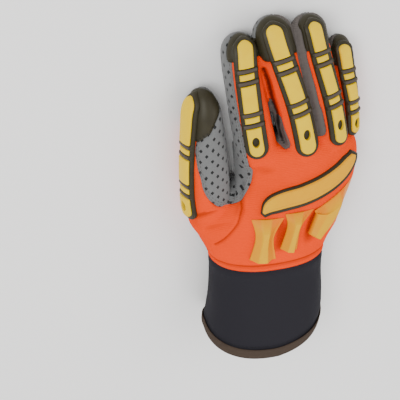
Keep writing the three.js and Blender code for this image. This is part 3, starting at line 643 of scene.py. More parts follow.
def seam_height(x, y, upward):
    """The turned lip at the wrist, the arc seam round the thumb's root and the slit."""
    total = bell(y - LIP_Y, 1.5) - bell(y - LIP_LINE_Y, 0.9)
    if upward > 0.1 and by_slit(x, y):
        total -= 1.6 * bell(away_from_line(x, y, SLIT), 1.2)
    if upward > 0.2 and by_thumb(x, y):
        away = away_from_line(x, y, THUMB_ARC)
        total += 0.45 * bell(away - 2.4, 1.4) - bell(away, 1.0)
    return total


def painted_shade_at(x, y, upward):
    """Painted shade: how much darker the cloth is drawn in the seam lines, the folds and the slit."""
    # painted shade: the line before the wrist lip is drawn darker, as shade in its groove and as the
    # stitching there; the arc seam's groove and the sunk folds are drawn darker as shade
    shade = 0.5 * bell(y - LIP_LINE_Y, 0.8)
    if upward > 0.2:
        if by_thumb(x, y):
            shade += 0.5 * bell(away_from_line(x, y, THUMB_ARC), 0.8)
        shade += 0.4 * min(max(-fold_height(x, y, upward), 0), 1)
    # painted shadow in the slit between index and middle finger
    if by_slit(x, y):
        width = 0.8 + 0.7 * min(max((y - 50) / 30, 0), 1)
        shade += 0.95 * math.exp(-(away_from_line(x, y, SLIT) / width) ** 4)
    return min(shade, 0.88)


bm.normal_update()
seam_tree = KDTree(len(on_seam))
for i, vert in enumerate(on_seam):
    seam_tree.insert(vert.co, i)
seam_tree.balance()
for vert in bm.verts:
    away = seam_tree.find(vert.co)[2] / MM
    x, y, z = vert.co / MM
    move = -0.6 * bell(away, 1.1) + 0.22 * bell(away - 3.6, 2.2)
    move += 0.22 * noise.noise(Vector((x, y, z)) / 13)
    move += fold_height(x, y, vert.normal.z) + seam_height(x, y, vert.normal.z)
    if vert.normal.z < -0.5 and z < UNDERSIDE + 1:
        move = min(move, 0)
    vert.co += vert.normal * move * MM
    vert.co.z = max(vert.co.z, 0.5 * MM)

# %% [markdown]
# Thread shows along the seams that are sewn twice. The path of each row of stitches is found here,
# while the cloth is still one skin: a seam's points in order, moved onto the cloth beside it.

# %% Paths of the stitches
# the cloth that a row of stitches lies on, the cloth on the other side, and its distances
SEWN = [
    ("thumb_crotch_patch", "back_panel", (1.7, 3.6)), ("palm_heel", "palm_panel", (1.8, 4.2)),
    ("index_cap", "back_panel", (1.6,)), ("middle_cap", "back_panel", (1.6,)),
    ("ring_cap", "back_panel", (1.6,)), ("little_cap", "back_panel", (1.6,)),
    ("thumb_cap", "thumb_crotch_patch", (1.6,)), ("thumb_cap", "back_panel", (1.6,)),
    ("palm_panel", "back_panel", (1.8,)), ("palm_panel", "index_middle_side", (1.6,)),
    ("palm_panel", "middle_ring_side", (1.6,)), ("palm_panel", "ring_little_side", (1.6,)),
]


def chains(edges):
    """Edges joined end to end, as lists of vertices."""
    links = {}
    for edge in edges:
        for a, b in (edge.verts, reversed(edge.verts)):
            links.setdefault(a, []).append(b)
    found = []
    while links:
        start = next((v for v in links if len(links[v]) == 1), next(iter(links)))
        chain = [start]
        while links.get(chain[-1]):
            a = chain[-1]
            b = links[a].pop()
            links[b].remove(a)
            chain.append(b)
        links = {v: others for v, others in links.items() if others}
        found.append(chain)
    return found


def evenly(line, pitch):
    """Places at even steps along a line of points, with the direction there."""
    steps, done, at = [], 0.0, pitch / 2
    for a, b in zip(line, line[1:]):
        length = (b - a).length
        while length > 0 and at <= done + length:
            steps.append((a.lerp(b, (at - done) / length), (b - a).normalized()))
            at += pitch
        done += length
    return steps


STITCH_PITCH, SHORTEST_SEAM = 3.0, 12
bm.normal_update()
skin_tree = BVHTree.FromBMesh(bm)
stitches = {}
for panel, other, distances in SEWN:
    both = {rows_of[panel], rows_of[other]}
    shared = [edge for edge in seam_edges if {owner[f.index] for f in edge.link_faces} == both]
    for chain in chains(shared):
        if len(chain) < SHORTEST_SEAM:
            continue
        inwards = []
        for vert in chain:
            own = [f.calc_center_median() for f in vert.link_faces
                   if owner[f.index] == rows_of[panel]]
            inwards.append((sum(own, Vector()) / max(len(own), 1) - vert.co).normalized())
        for distance in distances:
            line = []
            for k, vert in enumerate(chain):
                near = inwards[max(k - 3, 0):k + 4]
                way = (sum(near, Vector()) / len(near)).normalized()
                line.append(skin_tree.find_nearest(vert.co + way * distance * MM)[0])
            for _ in range(3):
                line[1:-1] = [a.lerp(c, 0.5).lerp(b, 0.5)
                              for a, b, c in zip(line, line[1:], line[2:])]
            for place, along in evenly(line, STITCH_PITCH * MM):
                spot, normal = skin_tree.find_nearest(place)[:2]
                stitches.setdefault(panel, []).append((spot, along, normal))
print("stitches", {name: len(rows) for name, rows in stitches.items()})

# %% [markdown]
# Each panel is then its own piece of cloth. It gets its thickness inwards, so the outside keeps its
# form and the glove stays hollow, as it is when a hand has just left it. No point of it is left
# under the floor.

# %% Separate panels
THICKNESS = {"back_panel": 1.5, "palm_panel": 1.6, "palm_heel": 1.5}
THINNEST, LOWEST = 1.4, 0.2
pieces = {}
for i, name in enumerate(PANELS):
    part = bm.copy()
    part.faces.ensure_lookup_table()
    part.faces.index_update()
    bmesh.ops.delete(part, geom=[f for f in part.faces if owner[f.index] != i], context="FACES")
    mesh = bpy.data.meshes.new(name + "_cloth")
    part.to_mesh(mesh)
    part.free()
    for panel in PANELS:
        mesh.attributes.remove(mesh.attributes[panel])
    obj = bpy.data.objects.new(name + "_cloth", mesh)
    bpy.context.collection.objects.link(obj)
    # each point stores its painted shade, by which the knit darkens its colour
    store(obj, "shade", [painted_shade_at(*(v.co.xy / MM), v.normal.z) for v in mesh.vertices])
    apply_modifier(obj, "SOLIDIFY", thickness=THICKNESS.get(name, THINNEST) * MM, offset=-1)
    above_floor = coordinates(obj)
    above_floor[:, 2] = np.maximum(above_floor[:, 2], LOWEST * MM)
    place_vertices(obj, above_floor)
    bpy.ops.object.shade_smooth()
    pieces[name] = obj
bm.free()
bpy.data.objects.remove(skin)
print("cloth", {name: len(obj.data.polygons) for name, obj in pieces.items()})

# %% [markdown]
# The cuff is a tube of neoprene that swells towards its open end, because the foam inside springs
# back after a hand has pulled it over. It is drawn in where it is sewn to the hand. A thin woven
# tape folds over the rim and hides the cut foam.

# %% Cuff and its binding
RIM_BULGE, RIM_SLANT, BULGE_START = 11, 8, 0.3
CUFF_WALL, TAPE_WIDTH, TAPE_THICK, TAPE_PROUD = 2.6, 5, 0.9, 0.8


def cuff_point(along, angle, height=0.0):
    left, right, top, lift = table_at(CUFF, along)
    top *= CUFF_HEIGHT
    point = section_point(CUFF_X + left * CUFF_WIDTH, CUFF_X + right * CUFF_WIDTH, top,
                          UNDERSIDE + max(lift, 0) * (TAPE_THICK + 0.3), 0,
                          WRIST_Y - along * CUFF_LENGTH, angle, height)
    part = max(0, along - BULGE_START) / (1 - BULGE_START)
    rise = max(0, (point.z / top - WAIST) / (1 - WAIST))
    aside = max(0, 2 * (point.x - CUFF_X) / CUFF_WIDTH)
    point.y += part * (RIM_SLANT * aside - RIM_BULGE * rise)
    return point


def tube(name, rows, place, segments=128):
    """An open tube of cloth, whose rings are moved to place(share, angle)."""
    bpy.ops.mesh.primitive_cylinder_add(vertices=segments, radius=1, depth=1, end_fill_type="NOTHING")
    obj = named(name)
    bpy.ops.object.mode_set(mode="EDIT")
    for i in range(1, rows):
        bpy.ops.mesh.select_all(action="SELECT")
        bpy.ops.mesh.bisect(plane_co=(0, 0, i / rows - 0.5), plane_no=(0, 0, 1))
    bpy.ops.object.mode_set(mode="OBJECT")
    place_vertices(obj, [place(0.5 + z, math.atan2(x, y)) * MM for x, y, z in coordinates(obj)])
    return obj


def cuff_cloth(share, angle):
    """The cuff is drawn in along its seam with the hand and gathers a little there."""
    start = bell(share, 0.035)
    along = -0.012 + 1.012 * share
    height = -1.3 * start + 0.5 * bell(share - 0.09, 0.05)
    height += 0.5 * noise.noise(Vector((math.sin(angle) * 2, math.cos(angle) * 2, share * 2.2)))
    height += 0.35 * math.sin(angle * 9 + 2 * math.sin(angle * 2)) * start
    return cuff_point(along, angle, height)


cuff = tube("cuff_cloth", 48, cuff_cloth)
apply_modifier(cuff, "SOLIDIFY", thickness=CUFF_WALL * MM, offset=-1)
bpy.ops.object.shade_smooth()


def tape_place(share, angle):
    """The tape runs from inside the cuff round its rim to the outside."""
    turn = share * 2 - 1
    outside, inner = TAPE_PROUD, -CUFF_WALL - 0.3 - TAPE_THICK
    height = (outside + inner) / 2 + (outside - inner) / 2 * max(-1, min(1, turn * 2.2))
    past_rim = math.sqrt(max(1 - min(abs(turn) * 1.15, 1) ** 2, 0)) * 1.3 + 0.3
    from_rim = max(abs(turn) - 0.42, 0) / 0.58 * TAPE_WIDTH
    point = cuff_point(1 - from_rim / CUFF_LENGTH, angle, height)
    point.y -= past_rim if abs(turn) < 0.9 else 0
    return point


tape = tube("binding_tape", 14, tape_place)
apply_modifier(tape, "SOLIDIFY", thickness=0.7 * MM, offset=-1)
bpy.ops.object.shade_smooth()
print("cuff", len(cuff.data.polygons), "tape", len(tape.data.polygons))

# %% [markdown]
# A guard is injection-moulded rubber: a dark base with two pairs of ribs, and yellow pads that
# fill the fields between them. Moulded edges are rounded, because a sharp edge tears in use. Each
# block is made flat, as its mould is, and then laid over the round back of the finger.

# %% Finger guards
GUARD_BASE, RIB_TOP, PAD_TOP, BAR_TOP, SEAT = 3.0, 4.5, 4.7, 4.0, 0.3
RIB_LENGTH, BAR_LENGTH, RECESS = 3.3, 4.2, (5, 8)
# the base beside the pads and behind them, how far it reaches back, and the shift of the pads
SIDE_MARGINS, SIDE_MARGIN = {"thumb": 1.7, "little": 2.3}, 3.1
BACK_MARGIN, TIP_MARGIN, THUMB_TAIL, TAIL, PAD_SHIFT = 3.0, 2.4, 0.6, 2.4, -0.4


def bevelled(obj, chosen, width, segments):
    """Rounds the edges whose two ends pass the test chosen(a, b)."""
    bpy.ops.object.mode_set(mode="EDIT")
    bpy.ops.mesh.select_all(action="DESELECT")
    bpy.ops.object.mode_set(mode="OBJECT")
    for e in obj.data.edges:
        e.select = chosen(*(obj.data.vertices[v].co for v in e.vertices))
    bpy.ops.object.mode_set(mode="EDIT")
    bpy.ops.mesh.bevel(offset=width * MM, segments=segments, affect="EDGES")
    bpy.ops.object.mode_set(mode="OBJECT")


def block(name, low, high, corner, edge, round_from=True, round_to=True):
    """A flat block with rounded corners in plan and a rounded top edge."""
    centre = [(a + b) / 2 * MM for a, b in zip(low, high)]
    bpy.ops.mesh.primitive_cube_add(size=1, location=centre)
    obj = named(name)
    obj.scale = [(b - a) * MM for a, b in zip(low, high)]
    bpy.ops.object.transform_apply(location=True, rotation=True, scale=True)
    ends = [y * MM for y, keep in ((low[1], round_from), (high[1], round_to)) if keep]
    if ends:
        bevelled(obj, lambda a, b: abs(a.z - b.z) > 0.5 * MM and abs(a.y - b.y) < 1e-6
                 and min(abs(a.y - y) for y in ends) < 1e-6, corner, 8)
    bevelled(obj, lambda a, b: min(a.z, b.z) > (high[2] - 1e-3) * MM, edge, 4)
    return obj


def guard_base(name, half, length, tail, ribs):
    """The dark base with its ribs; the stored share marks the tops of the ribs, painted lighter as a
    highlight.
    """
    blocks = [block("base", (-half, -tail, 0.1), (half, length, GUARD_BASE), half * 0.98, 0.8)]
    wide = half - 0.2
    for at in ribs:
        blocks.append(block("rib", (-wide, at - RIB_LENGTH / 2, 0.3),
                            (wide, at + RIB_LENGTH / 2, RIB_TOP), 0.9, 1.4))
    select_only(*blocks)
    bpy.ops.object.join()
    made = remeshed(named(name), 0.5)
    apply_modifier(made, "SMOOTH", factor=0.5, iterations=2)
    flat = coordinates(made) / MM
    rib_top_highlight = np.clip((flat[:, 2] - GUARD_BASE - 0.9) / 0.4, 0, 1)
    store(made, "tint_and_painted_light", rib_top_highlight * (abs(flat[:, 0]) < half - 1.8))
    return made


def guard_pad(name, half, low, high, top, round_from, round_to, recess=None):
    """A yellow pad or bar, a little crowned, with an oval recess where a middle is given."""
    made = block(name, (-half, low, GUARD_BASE - 0.3), (half, high, top), half * 0.97, 1.1,
                 round_from, round_to)
    remeshed(made, 0.45)
    apply_modifier(made, "SMOOTH", factor=0.5, iterations=2)
    if recess:
        bpy.ops.mesh.primitive_cylinder_add(vertices=32, radius=1, depth=1,
                                            location=(0, recess * MM, 5 * MM))
        hole = named("hole")
        hole.scale = (RECESS[0] / 2 * MM, RECESS[1] / 2 * MM, 8 * MM)
        apply_modifier(made, "BOOLEAN", operation="DIFFERENCE", object=hole)
        bpy.data.objects.remove(hole)
    points = coordinates(made)
    crown = 0.45 * (1 - (points[:, 0] / MM / half) ** 2) * (points[:, 2] > GUARD_BASE * MM)
    points[:, 2] += crown * MM
    points[:, 0] += PAD_SHIFT * MM
    place_vertices(made, points)
    return made


def laid_on_digit(obj, digit, start):
    """Bends a flat moulding over the back of a digit; its y runs along the digit from start."""
    points = []
    for x, y, z in coordinates(obj) / MM:
        points.append(digit.over(start + y / digit.length, x, z) * MM)
    place_vertices(obj, points)


guards = {}
for name, digit in digits.items():
    start, end = digit.rest["guard"]
    length = (end - start) * digit.length
    half = digit.rest["guard_width"] / 2
    inner = half - SIDE_MARGINS.get(name, SIDE_MARGIN)
    tail = THUMB_TAIL if name == "thumb" else TAIL
    lower, upper = (share * length for share in digit.rest["bars"])
    offset = (BAR_LENGTH + RIB_LENGTH) / 2 + SEAT
    ribs = [lower - offset, lower + offset, upper - offset, upper + offset]
    made = {name + "_guard": guard_base(name + "_guard_rubber", half, length, tail, ribs)}
    side, bar = RIB_LENGTH / 2 + SEAT - 0.1, BAR_LENGTH / 2
    for pad, low, high, top, round_from, round_to in [
        ("knuckle_pad", BACK_MARGIN - tail, ribs[0] - side, PAD_TOP, True, False),
        ("lower_bar", lower - bar, lower + bar, BAR_TOP, False, False),
        ("middle_pad", ribs[1] + side, ribs[2] - side, PAD_TOP, False, False),
        ("upper_bar", upper - bar, upper + bar, BAR_TOP, False, False),
        ("tip_pad", ribs[3] + side, length - TIP_MARGIN, PAD_TOP, False, True),
    ]:
        recess = (low + high) / 2 + 0.5 if pad == "knuckle_pad" else None
        made[f"{name}_{pad}"] = guard_pad(f"{name}_{pad}_rubber", inner, low, high, top,
                                          round_from, round_to, recess)
    for obj in made.values():
        laid_on_digit(obj, digit, start)
    guards.update(made)
print("guards", len(guards), sum(len(o.data.polygons) for o in guards.values()))

# %% [markdown]
# Over the knuckles lies one long pad in a dark frame, and behind it three bolsters shaped like
# hourglasses spread a blow over the bones of the hand. They follow the back of the hand, so they
# are shaped in plan first and then laid on it.

# %% Knuckle guard and bolsters
# x, y, width as shares of the hand's size, and how far its cross lines slant forward
KNUCKLE_GUARD = [
    (-0.215, 0.475, 0.03, 0), (-0.15, 0.54, 0.13, 0), (-0.05, 0.578, 0.17, 0),
    (0.1, 0.605, 0.18, 0), (0.25, 0.652, 0.175, 0), (0.38, 0.715, 0.16, 0),
    (0.47, 0.785, 0.125, 0), (0.51, 0.838, 0.05, 0),
]
BOLSTERS = {
    "first_bolster": [
        (-0.17, 0.435, 0.25, 0.1), (-0.195, 0.28, 0.145, 0), (-0.21, 0.1, 0.2, 0)],
    "second_bolster": [
        (0.075, 0.455, 0.22, 0.3), (0.035, 0.33, 0.12, 0.1), (-0.01, 0.155, 0.14, 0)],
    "third_bolster": [
        (0.385, 0.53, 0.34, 0.75), (0.36, 0.39, 0.295, 0.35), (0.205, 0.205, 0.15, 0)],
}
# where a bolster's ridge lies across it, from -1 at the thumb's side, and its height
RIDGE_AT = {"first_bolster": -0.08, "second_bolster": -0.08, "third_bolster": -0.22}
BOLSTER_HEIGHT, FRAME_SIDE, FRAME_END = 6.8, 2.1, 0.045


def plan_at(rows, t):
    keyed = [(i / (len(rows) - 1), *row) for i, row in enumerate(rows)]
    x, y, width, slant = table_at(keyed, t)
    ahead, behind = table_at(keyed, min(t + 0.01, 1)), table_at(keyed, max(t - 0.01, 0))
    along = Vector((ahead[0] - behind[0], ahead[1] - behind[1])).normalized()
    middle = Vector((HAND_X + x * HAND_WIDTH, WRIST_Y + y * HAND_LENGTH))
    across = Vector((-along.y, along.x)) - along * float(slant)
    return middle, across, max(width, 0.004) * HAND_WIDTH / 2


def strip(name, rows, shrink, low, top, counts=(90, 24), ends=0.0, shift=0.0,
          tint_and_painted_light=lambda t, v: 0):
    """A plate along a middle line. top(t, across) is its height, and the last function its share of
    the second colour: painted shade and reflection on the bolsters, the long pad's own colour on the
    pad.
    """
    bpy.ops.mesh.primitive_grid_add(x_subdivisions=counts[0], y_subdivisions=counts[1], size=2)
    obj = named(name)
    apply_modifier(obj, "SOLIDIFY", thickness=1, offset=1)
    points, painted_light_and_tints = [], []
    for u, v, layer in coordinates(obj):
        t = ends + (1 - 2 * ends) * (u + 1) / 2
        middle, side, half = plan_at(rows, t)
        half = max(half - shrink, 0.3)
        place = middle + side * (v * half + shift)
        painted_light_and_tints.append(tint_and_painted_light(t, v))
        height = top(t, v) if layer > 0.5 else low
        points.append(back_over(middle, place.x, place.y, height) * MM)
    place_vertices(obj, points)
    store(obj, "tint_and_painted_light", painted_light_and_tints)
    bpy.ops.object.shade_smooth()
    return obj


def rounded(v, edge, high, low):
    """A height that falls in a quarter circle over the last part of the way to an edge."""
    t = max(0, (abs(v) - (1 - edge)) / edge)
    return low + (high - low) * math.sqrt(max(1 - t * t, 0))


def frame_top(t, v):
    """The frame rises from the finger side to the wrist side, so both rims show from above."""
    end = rounded(2 * t - 1, 0.03, 1, 0)
    rim = GUARD_BASE + 0.4 - 0.9 * max(v, 0)
    return 0.3 + (rounded(v, 0.1, rim, 0.3) - 0.3) * end


def pad_top(t, v):
    """The pad is softly crowned and has a thin crease along its wrist side."""
    end = rounded(2 * t - 1, 0.04, 1, 0)
    crease = 0.7 * bell(v + 0.6, 0.06) * (0.04 < t < 0.7)
    body = rounded(v, 0.14, PAD_TOP - 0.6, 1.5) - crease + 0.4 * (1 - v * v)
    return 1.5 + (body - 1.5) * end


def bolster_top(t, v, peak):
    """A flat ridge between two sloping sides, which falls away towards the knuckles."""
    ridge = 0.2 + 0.16 * t
    span = 1 - peak if v < peak else 1 + peak
    side = min(1, (1 - abs(v - peak) / span) / (1 - ridge))
    fall = min(1, 0.16 + t / 0.3 * 0.84)
    foot = min(1, 0.5 + (1 - t) / 0.04)
    return 0.3 + BOLSTER_HEIGHT * max(side, 0) * fall * foot * (1 - 0.12 * max(0, v))


def bolster_painted_light(t, v, peak):
    """Painted shade and painted reflection of the orange cloth: how orange the rubber is drawn at the
    knuckle end and on both slopes, most on the far one.
    """
    top = max(0, 1 - t / 0.3)
    slope = min(1, max(0, (v - peak - 0.28) / 0.1)) * 0.62
    slope += min(1, max(0, (peak - 0.34 - v) / 0.1)) * 0.3
    return min(1, 0.55 * top + slope)


def pad_tint(t, v):
    """The long pad is a little more orange away from its thumb end."""
    return 0.16 * min(1, max(0, (t - 0.12) / 0.2))


over_back = {
    "knuckle_guard": strip("knuckle_guard_rubber", KNUCKLE_GUARD, 0, 0, frame_top),
    "knuckle_guard_pad": strip("knuckle_pad_rubber", KNUCKLE_GUARD, FRAME_SIDE, 1.2, pad_top,
                               ends=FRAME_END, shift=1.15, tint_and_painted_light=pad_tint),
}
for name, rows in BOLSTERS.items():
    peak = RIDGE_AT[name]
    over_back[name] = strip(name + "_rubber", rows, 0, 0, lambda t, v: bolster_top(t, v, peak),
                            (90, 44), tint_and_painted_light=lambda t, v: bolster_painted_light(t, v, peak))
print("over the back", [len(o.data.polygons) for o in over_back.values()])

# %% [markdown]
# The palm carries a second layer of suede where tools rub, and a webbing strap to pull the cuff on
# by. The strap and the thread of the patch lie flat on the floor under the glove.

# %% Grip patch and pull strap
GRIP_X, GRIP_Y, GRIP_HALF_X, GRIP_HALF_Y, GRIP_THICK, THREAD_ROOM = 11, -14, 29, 38, 1.05, 0.15
STRAP_X, STRAP_WIDTH, STRAP_THICK, STRAP_FREE, STRAP_SEAM_Y = -5, 23, 1.2, 32, WRIST_Y - 2
bpy.ops.mesh.primitive_cylinder_add(vertices=96, radius=1, depth=1)
grip = named("grip_patch_suede")
grip.scale = (GRIP_HALF_X * MM, GRIP_HALF_Y * MM, GRIP_THICK * MM)
grip.location = (GRIP_X * MM, GRIP_Y * MM, (THREAD_ROOM + GRIP_THICK / 2) * MM)
bpy.ops.object.transform_apply(location=True, rotation=True, scale=True)
apply_modifier(grip, "BEVEL", width=0.45 * MM, segments=3)

strap_end = WRIST_Y - CUFF_LENGTH - STRAP_FREE
bpy.ops.mesh.primitive_cube_add(size=1, location=(
    STRAP_X * MM, (strap_end + STRAP_SEAM_Y) / 2 * MM, STRAP_THICK / 2 * MM))
strap = named("pull_strap_webbing")
strap.scale = (STRAP_WIDTH * MM, (STRAP_SEAM_Y - strap_end) * MM, STRAP_THICK * MM)
bpy.ops.object.transform_apply(location=True, rotation=True, scale=True)
apply_modifier(strap, "BEVEL", width=0.4 * MM, segments=3)
print("strap", tuple(round(v, 3) for v in strap.dimensions))

# %% [markdown]
# One stitch is a short round bar of thread, half sunk in the cloth. An array makes as many as a
# piece needs, and each is then moved to its place. The rows that don't follow a seam are set out
# from the piece itself: twice round the grip patch and once round the cuff beside its tape.

# %% Stitches
GRIP_ROWS, ROUND_PITCH, CUFF_ROW, CUFF_MIDDLE_Z = (3.0, 5.4), 3.2, 0.9, 24


def sewn(name, places, length=2.1, thick=0.42):
    """Joined stitches, each at a place with its direction and the way out of the cloth."""
    bpy.ops.mesh.primitive_uv_sphere_add(segments=6, ring_count=4, radius=1)
    obj = named(name)
    one = coordinates(obj)
    apply_modifier(obj, "ARRAY", count=len(places), use_relative_offset=False,
                   use_constant_offset=True, constant_offset_displace=(3, 0, 0))
    points = []
    for place, along, out in places:
        across = along.cross(out).normalized()
        out = across.cross(along).normalized()
        for x, y, z in one:
            points.append(place + (along * z * length / 2 + across * x * thick / 2
                                   + out * (y * thick / 2 + 0.06)) * MM)
    place_vertices(obj, points)
    bpy.ops.object.shade_smooth()
    return obj


def ring_of(place_at, pitch, turns=400):
    line = [place_at(2 * math.pi * i / turns) for i in range(turns + 1)]
    return evenly([point * MM for point in line], pitch * MM)


for inset in GRIP_ROWS:
    rx, ry = GRIP_HALF_X - inset, GRIP_HALF_Y - inset
    ring = ring_of(lambda a: Vector((GRIP_X + rx * math.sin(a), GRIP_Y + ry * math.cos(a), 0.27)),
                   ROUND_PITCH)
    stitches.setdefault("palm_grip_patch", []).extend(
        (place, along, Vector((0, 0, -1))) for place, along in ring)
for place, along in ring_of(lambda a: cuff_cloth(CUFF_ROW, a), ROUND_PITCH):
    out = Vector((place.x / MM - CUFF_X, 0, place.z / MM - CUFF_MIDDLE_Z)).normalized()
    stitches.setdefault("cuff", []).append((place, along, out))
threads = {key: sewn(key + "_stitches", places) for key, places in stitches.items()}
print("threads", {key: len(obj.data.polygons) for key, obj in threads.items()})

# %% [markdown]
# Every finish starts from the real material: dyed polyester knit, printed microfibre suede,
# neoprene faced with nylon knit, and thermoplastic rubber with the faint texture of its mould. All
# of them are worked out by nodes, so they need no picture and stay sharp from near.

# %% Nodes for the finishes


def srgb(code):
    values = [int(code[i:i + 2], 16) / 255 for i in (1, 3, 5)]
    return [v / 12.92 if v <= 0.04045 else ((v + 0.055) / 1.055) ** 2.4 for v in values] + [1]


def add(tree, kind, inputs=(), **settings):
    """Adds a node, sets its options, and links or sets its inputs."""
    node = tree.nodes.new(kind)
    for key, value in settings.items():
        setattr(node, key, value)
    for key, value in dict(inputs).items():
        if isinstance(value, bpy.types.NodeSocket):
            tree.links.new(value, node.inputs[key])
        else:
            node.inputs[key].default_value = value
    return node


def material(name, color, roughness, shine=0.2, sheen=0.0):
    made = bpy.data.materials.new(name)
    made.use_nodes = True
    tree = made.node_tree
    shader = tree.nodes["Principled BSDF"]
    shader.inputs["Base Color"].default_value = srgb(color)
    shader.inputs["Roughness"].default_value = roughness
    shader.inputs["Specular IOR Level"].default_value = shine
    shader.inputs["Sheen Weight"].default_value = sheen
    return made, tree, shader


def place_of(tree):
    return add(tree, "ShaderNodeTexCoord").outputs["Object"]


def maths(tree, kind, a, b=0.0):
    return add(tree, "ShaderNodeMath", {0: a, 1: b}, operation=kind).outputs[0]


def mixed(tree, factor, a, b):
    """The colour between a and b."""
    return add(tree, "ShaderNodeMix", {0: factor, 6: a, 7: b}, data_type="RGBA").outputs[2]


def noise_of(tree, place, millimetres, detail=3):
    return add(tree, "ShaderNodeTexNoise", {"Vector": place, "Scale": 1 / (millimetres * MM),
                                            "Detail": detail}).outputs["Fac"]


def wave(tree, value, pitch):
    return maths(tree, "SINE", maths(tree, "MULTIPLY", value, 2 * math.pi / (pitch * MM)))


def bump(tree, shader, height, millimetres, strength=1.0):
    node = add(tree, "ShaderNodeBump", {"Height": height, "Distance": millimetres * MM,
                                        "Strength": strength})
    tree.links.new(node.outputs["Normal"], shader.inputs["Normal"])

# %% [markdown]
# Ribbed knit: rows of loops across the glove give fine lines, and each loop breaks them up. The
# stored shade darkens the lines and folds, as the photo's soft light hardly does it alone.

# %% Ribbed knit
def knit(name, color, dark, pitch=1.25):
    made, tree, shader = material(name, color, 0.95, 0.05)
    place = place_of(tree)
    xyz = add(tree, "ShaderNodeSeparateXYZ", {0: place}).outputs
    wobble = maths(tree, "MULTIPLY", noise_of(tree, place, 14, 2), 3 * MM)
    rows = wave(tree, maths(tree, "ADD", xyz["Y"], wobble), pitch)
    loops = wave(tree, xyz["X"], 0.9)
    both = maths(tree, "ADD", maths(tree, "MULTIPLY", rows, 0.35),
                 maths(tree, "MULTIPLY", loops, 0.12))
    height = maths(tree, "ADD", both, noise_of(tree, place, 0.5))
    bump(tree, shader, height, 0.22, 0.8)
    # painted shade: the colour goes over to the dark one in the grooves between the rows of loops,
    # where the bump sinks
    shade = maths(tree, "ADD", maths(tree, "MULTIPLY", both, 0.5), 0.55)
    tone = mixed(tree, shade, srgb(dark), srgb(color))
    patchy = add(tree, "ShaderNodeMapRange", {"Value": noise_of(tree, place, 30, 2),
                                              "To Min": 0.9, "To Max": 1.06}).outputs[0]
    # the stored painted shade darkens the colour in the seam lines, the folds and the slit
    painted_shade_lines = add(tree, "ShaderNodeAttribute", attribute_name="shade").outputs["Fac"]
    value = maths(tree, "MULTIPLY", patchy, maths(tree, "SUBTRACT", 1, painted_shade_lines))
    hue = add(tree, "ShaderNodeHueSaturation", {"Color": tone, "Value": value})
    tree.links.new(hue.outputs["Color"], shader.inputs["Base Color"])
    return made

# %% [markdown]
# Suede with printed dots: diamonds of dark grip print stand in staggered rows on a soft nap.

# %% Dotted suede
def dotted(name, color, dot, nap_color="#5d5e5f", pitch=8.4, size=1.3):
    made, tree, shader = material(name, color, 0.9, 0.15, 0.12)
    place = place_of(tree)
    cloth = add(tree, "ShaderNodeAttribute", attribute_name="cloth").outputs["Vector"]
    uv = add(tree, "ShaderNodeSeparateXYZ", {0: cloth}).outputs
    masks = []
    for shift in (0, 0.5):
        parts = []
        for axis in ("X", "Y"):
            cell = maths(tree, "ADD", maths(tree, "DIVIDE", uv[axis], pitch), shift)
            part = maths(tree, "SUBTRACT", maths(tree, "FRACT", cell), 0.5)
            parts.append(maths(tree, "MULTIPLY", maths(tree, "ABSOLUTE", part), pitch))
        away = maths(tree, "ADD", parts[0], maths(tree, "MULTIPLY", parts[1], 0.8))
        masks.append(maths(tree, "LESS_THAN", away, size))
    mask = maths(tree, "MAXIMUM", *masks)
    nap = noise_of(tree, place, 0.7, 4)
    tone = mixed(tree, nap, srgb(nap_color), srgb(color))
    tone = mixed(tree, mask, tone, srgb(dot))
    tree.links.new(tone, shader.inputs["Base Color"])
    tree.links.new(add(tree, "ShaderNodeMapRange", {"Value": mask, "To Min": 0.92, "To Max": 0.5}
                       ).outputs[0], shader.inputs["Roughness"])
    bump(tree, shader, maths(tree, "ADD", maths(tree, "MULTIPLY", nap, 0.5), mask), 0.25, 0.7)
    return made

# %% [markdown]
# Moulded rubber: an even colour, broad soft highlights and the fine grain of the mould. The stored
# share leads over to a second colour: painted shade and painted reflection of the orange cloth on the
# bolsters, and a painted highlight on the tops of the ribs.

# %% Moulded rubber
def rubber(name, color, dark, roughness, shine=0.2, tint_and_painted_light="#f25a00"):
    made, tree, shader = material(name, color, roughness, shine)
    place = place_of(tree)
    tone = mixed(tree, noise_of(tree, place, 6, 3), srgb(dark), srgb(color))
    # share of the second colour: painted shade, reflection and highlight, and on the long pad its own
    # colour
    painted_light_and_tint_share = add(tree, "ShaderNodeAttribute", attribute_name="tint_and_painted_light").outputs["Fac"]
    tone = mixed(tree, painted_light_and_tint_share, tone, srgb(tint_and_painted_light))
    tree.links.new(tone, shader.inputs["Base Color"])
    bump(tree, shader, noise_of(tree, place, 0.35, 2), 0.05, 0.5)
    return made

# %% [markdown]
# Woven tape, webbing and the knit face of the neoprene: a fine weave in two directions.

# %% Woven cloth
def woven(name, color, pitch, depth, roughness=0.85, shine=0.1):
    made, tree, shader = material(name, color, roughness, shine)
    place = place_of(tree)
    xyz = add(tree, "ShaderNodeSeparateXYZ", {0: place}).outputs
    waves = [wave(tree, xyz[axis], pitch) for axis in "XYZ"]
    weave = maths(tree, "MULTIPLY", maths(tree, "ADD", waves[0], waves[2]), waves[1])
    height = maths(tree, "ADD", weave, noise_of(tree, place, 0.6))
    bump(tree, shader, height, depth, 0.7)
    return made
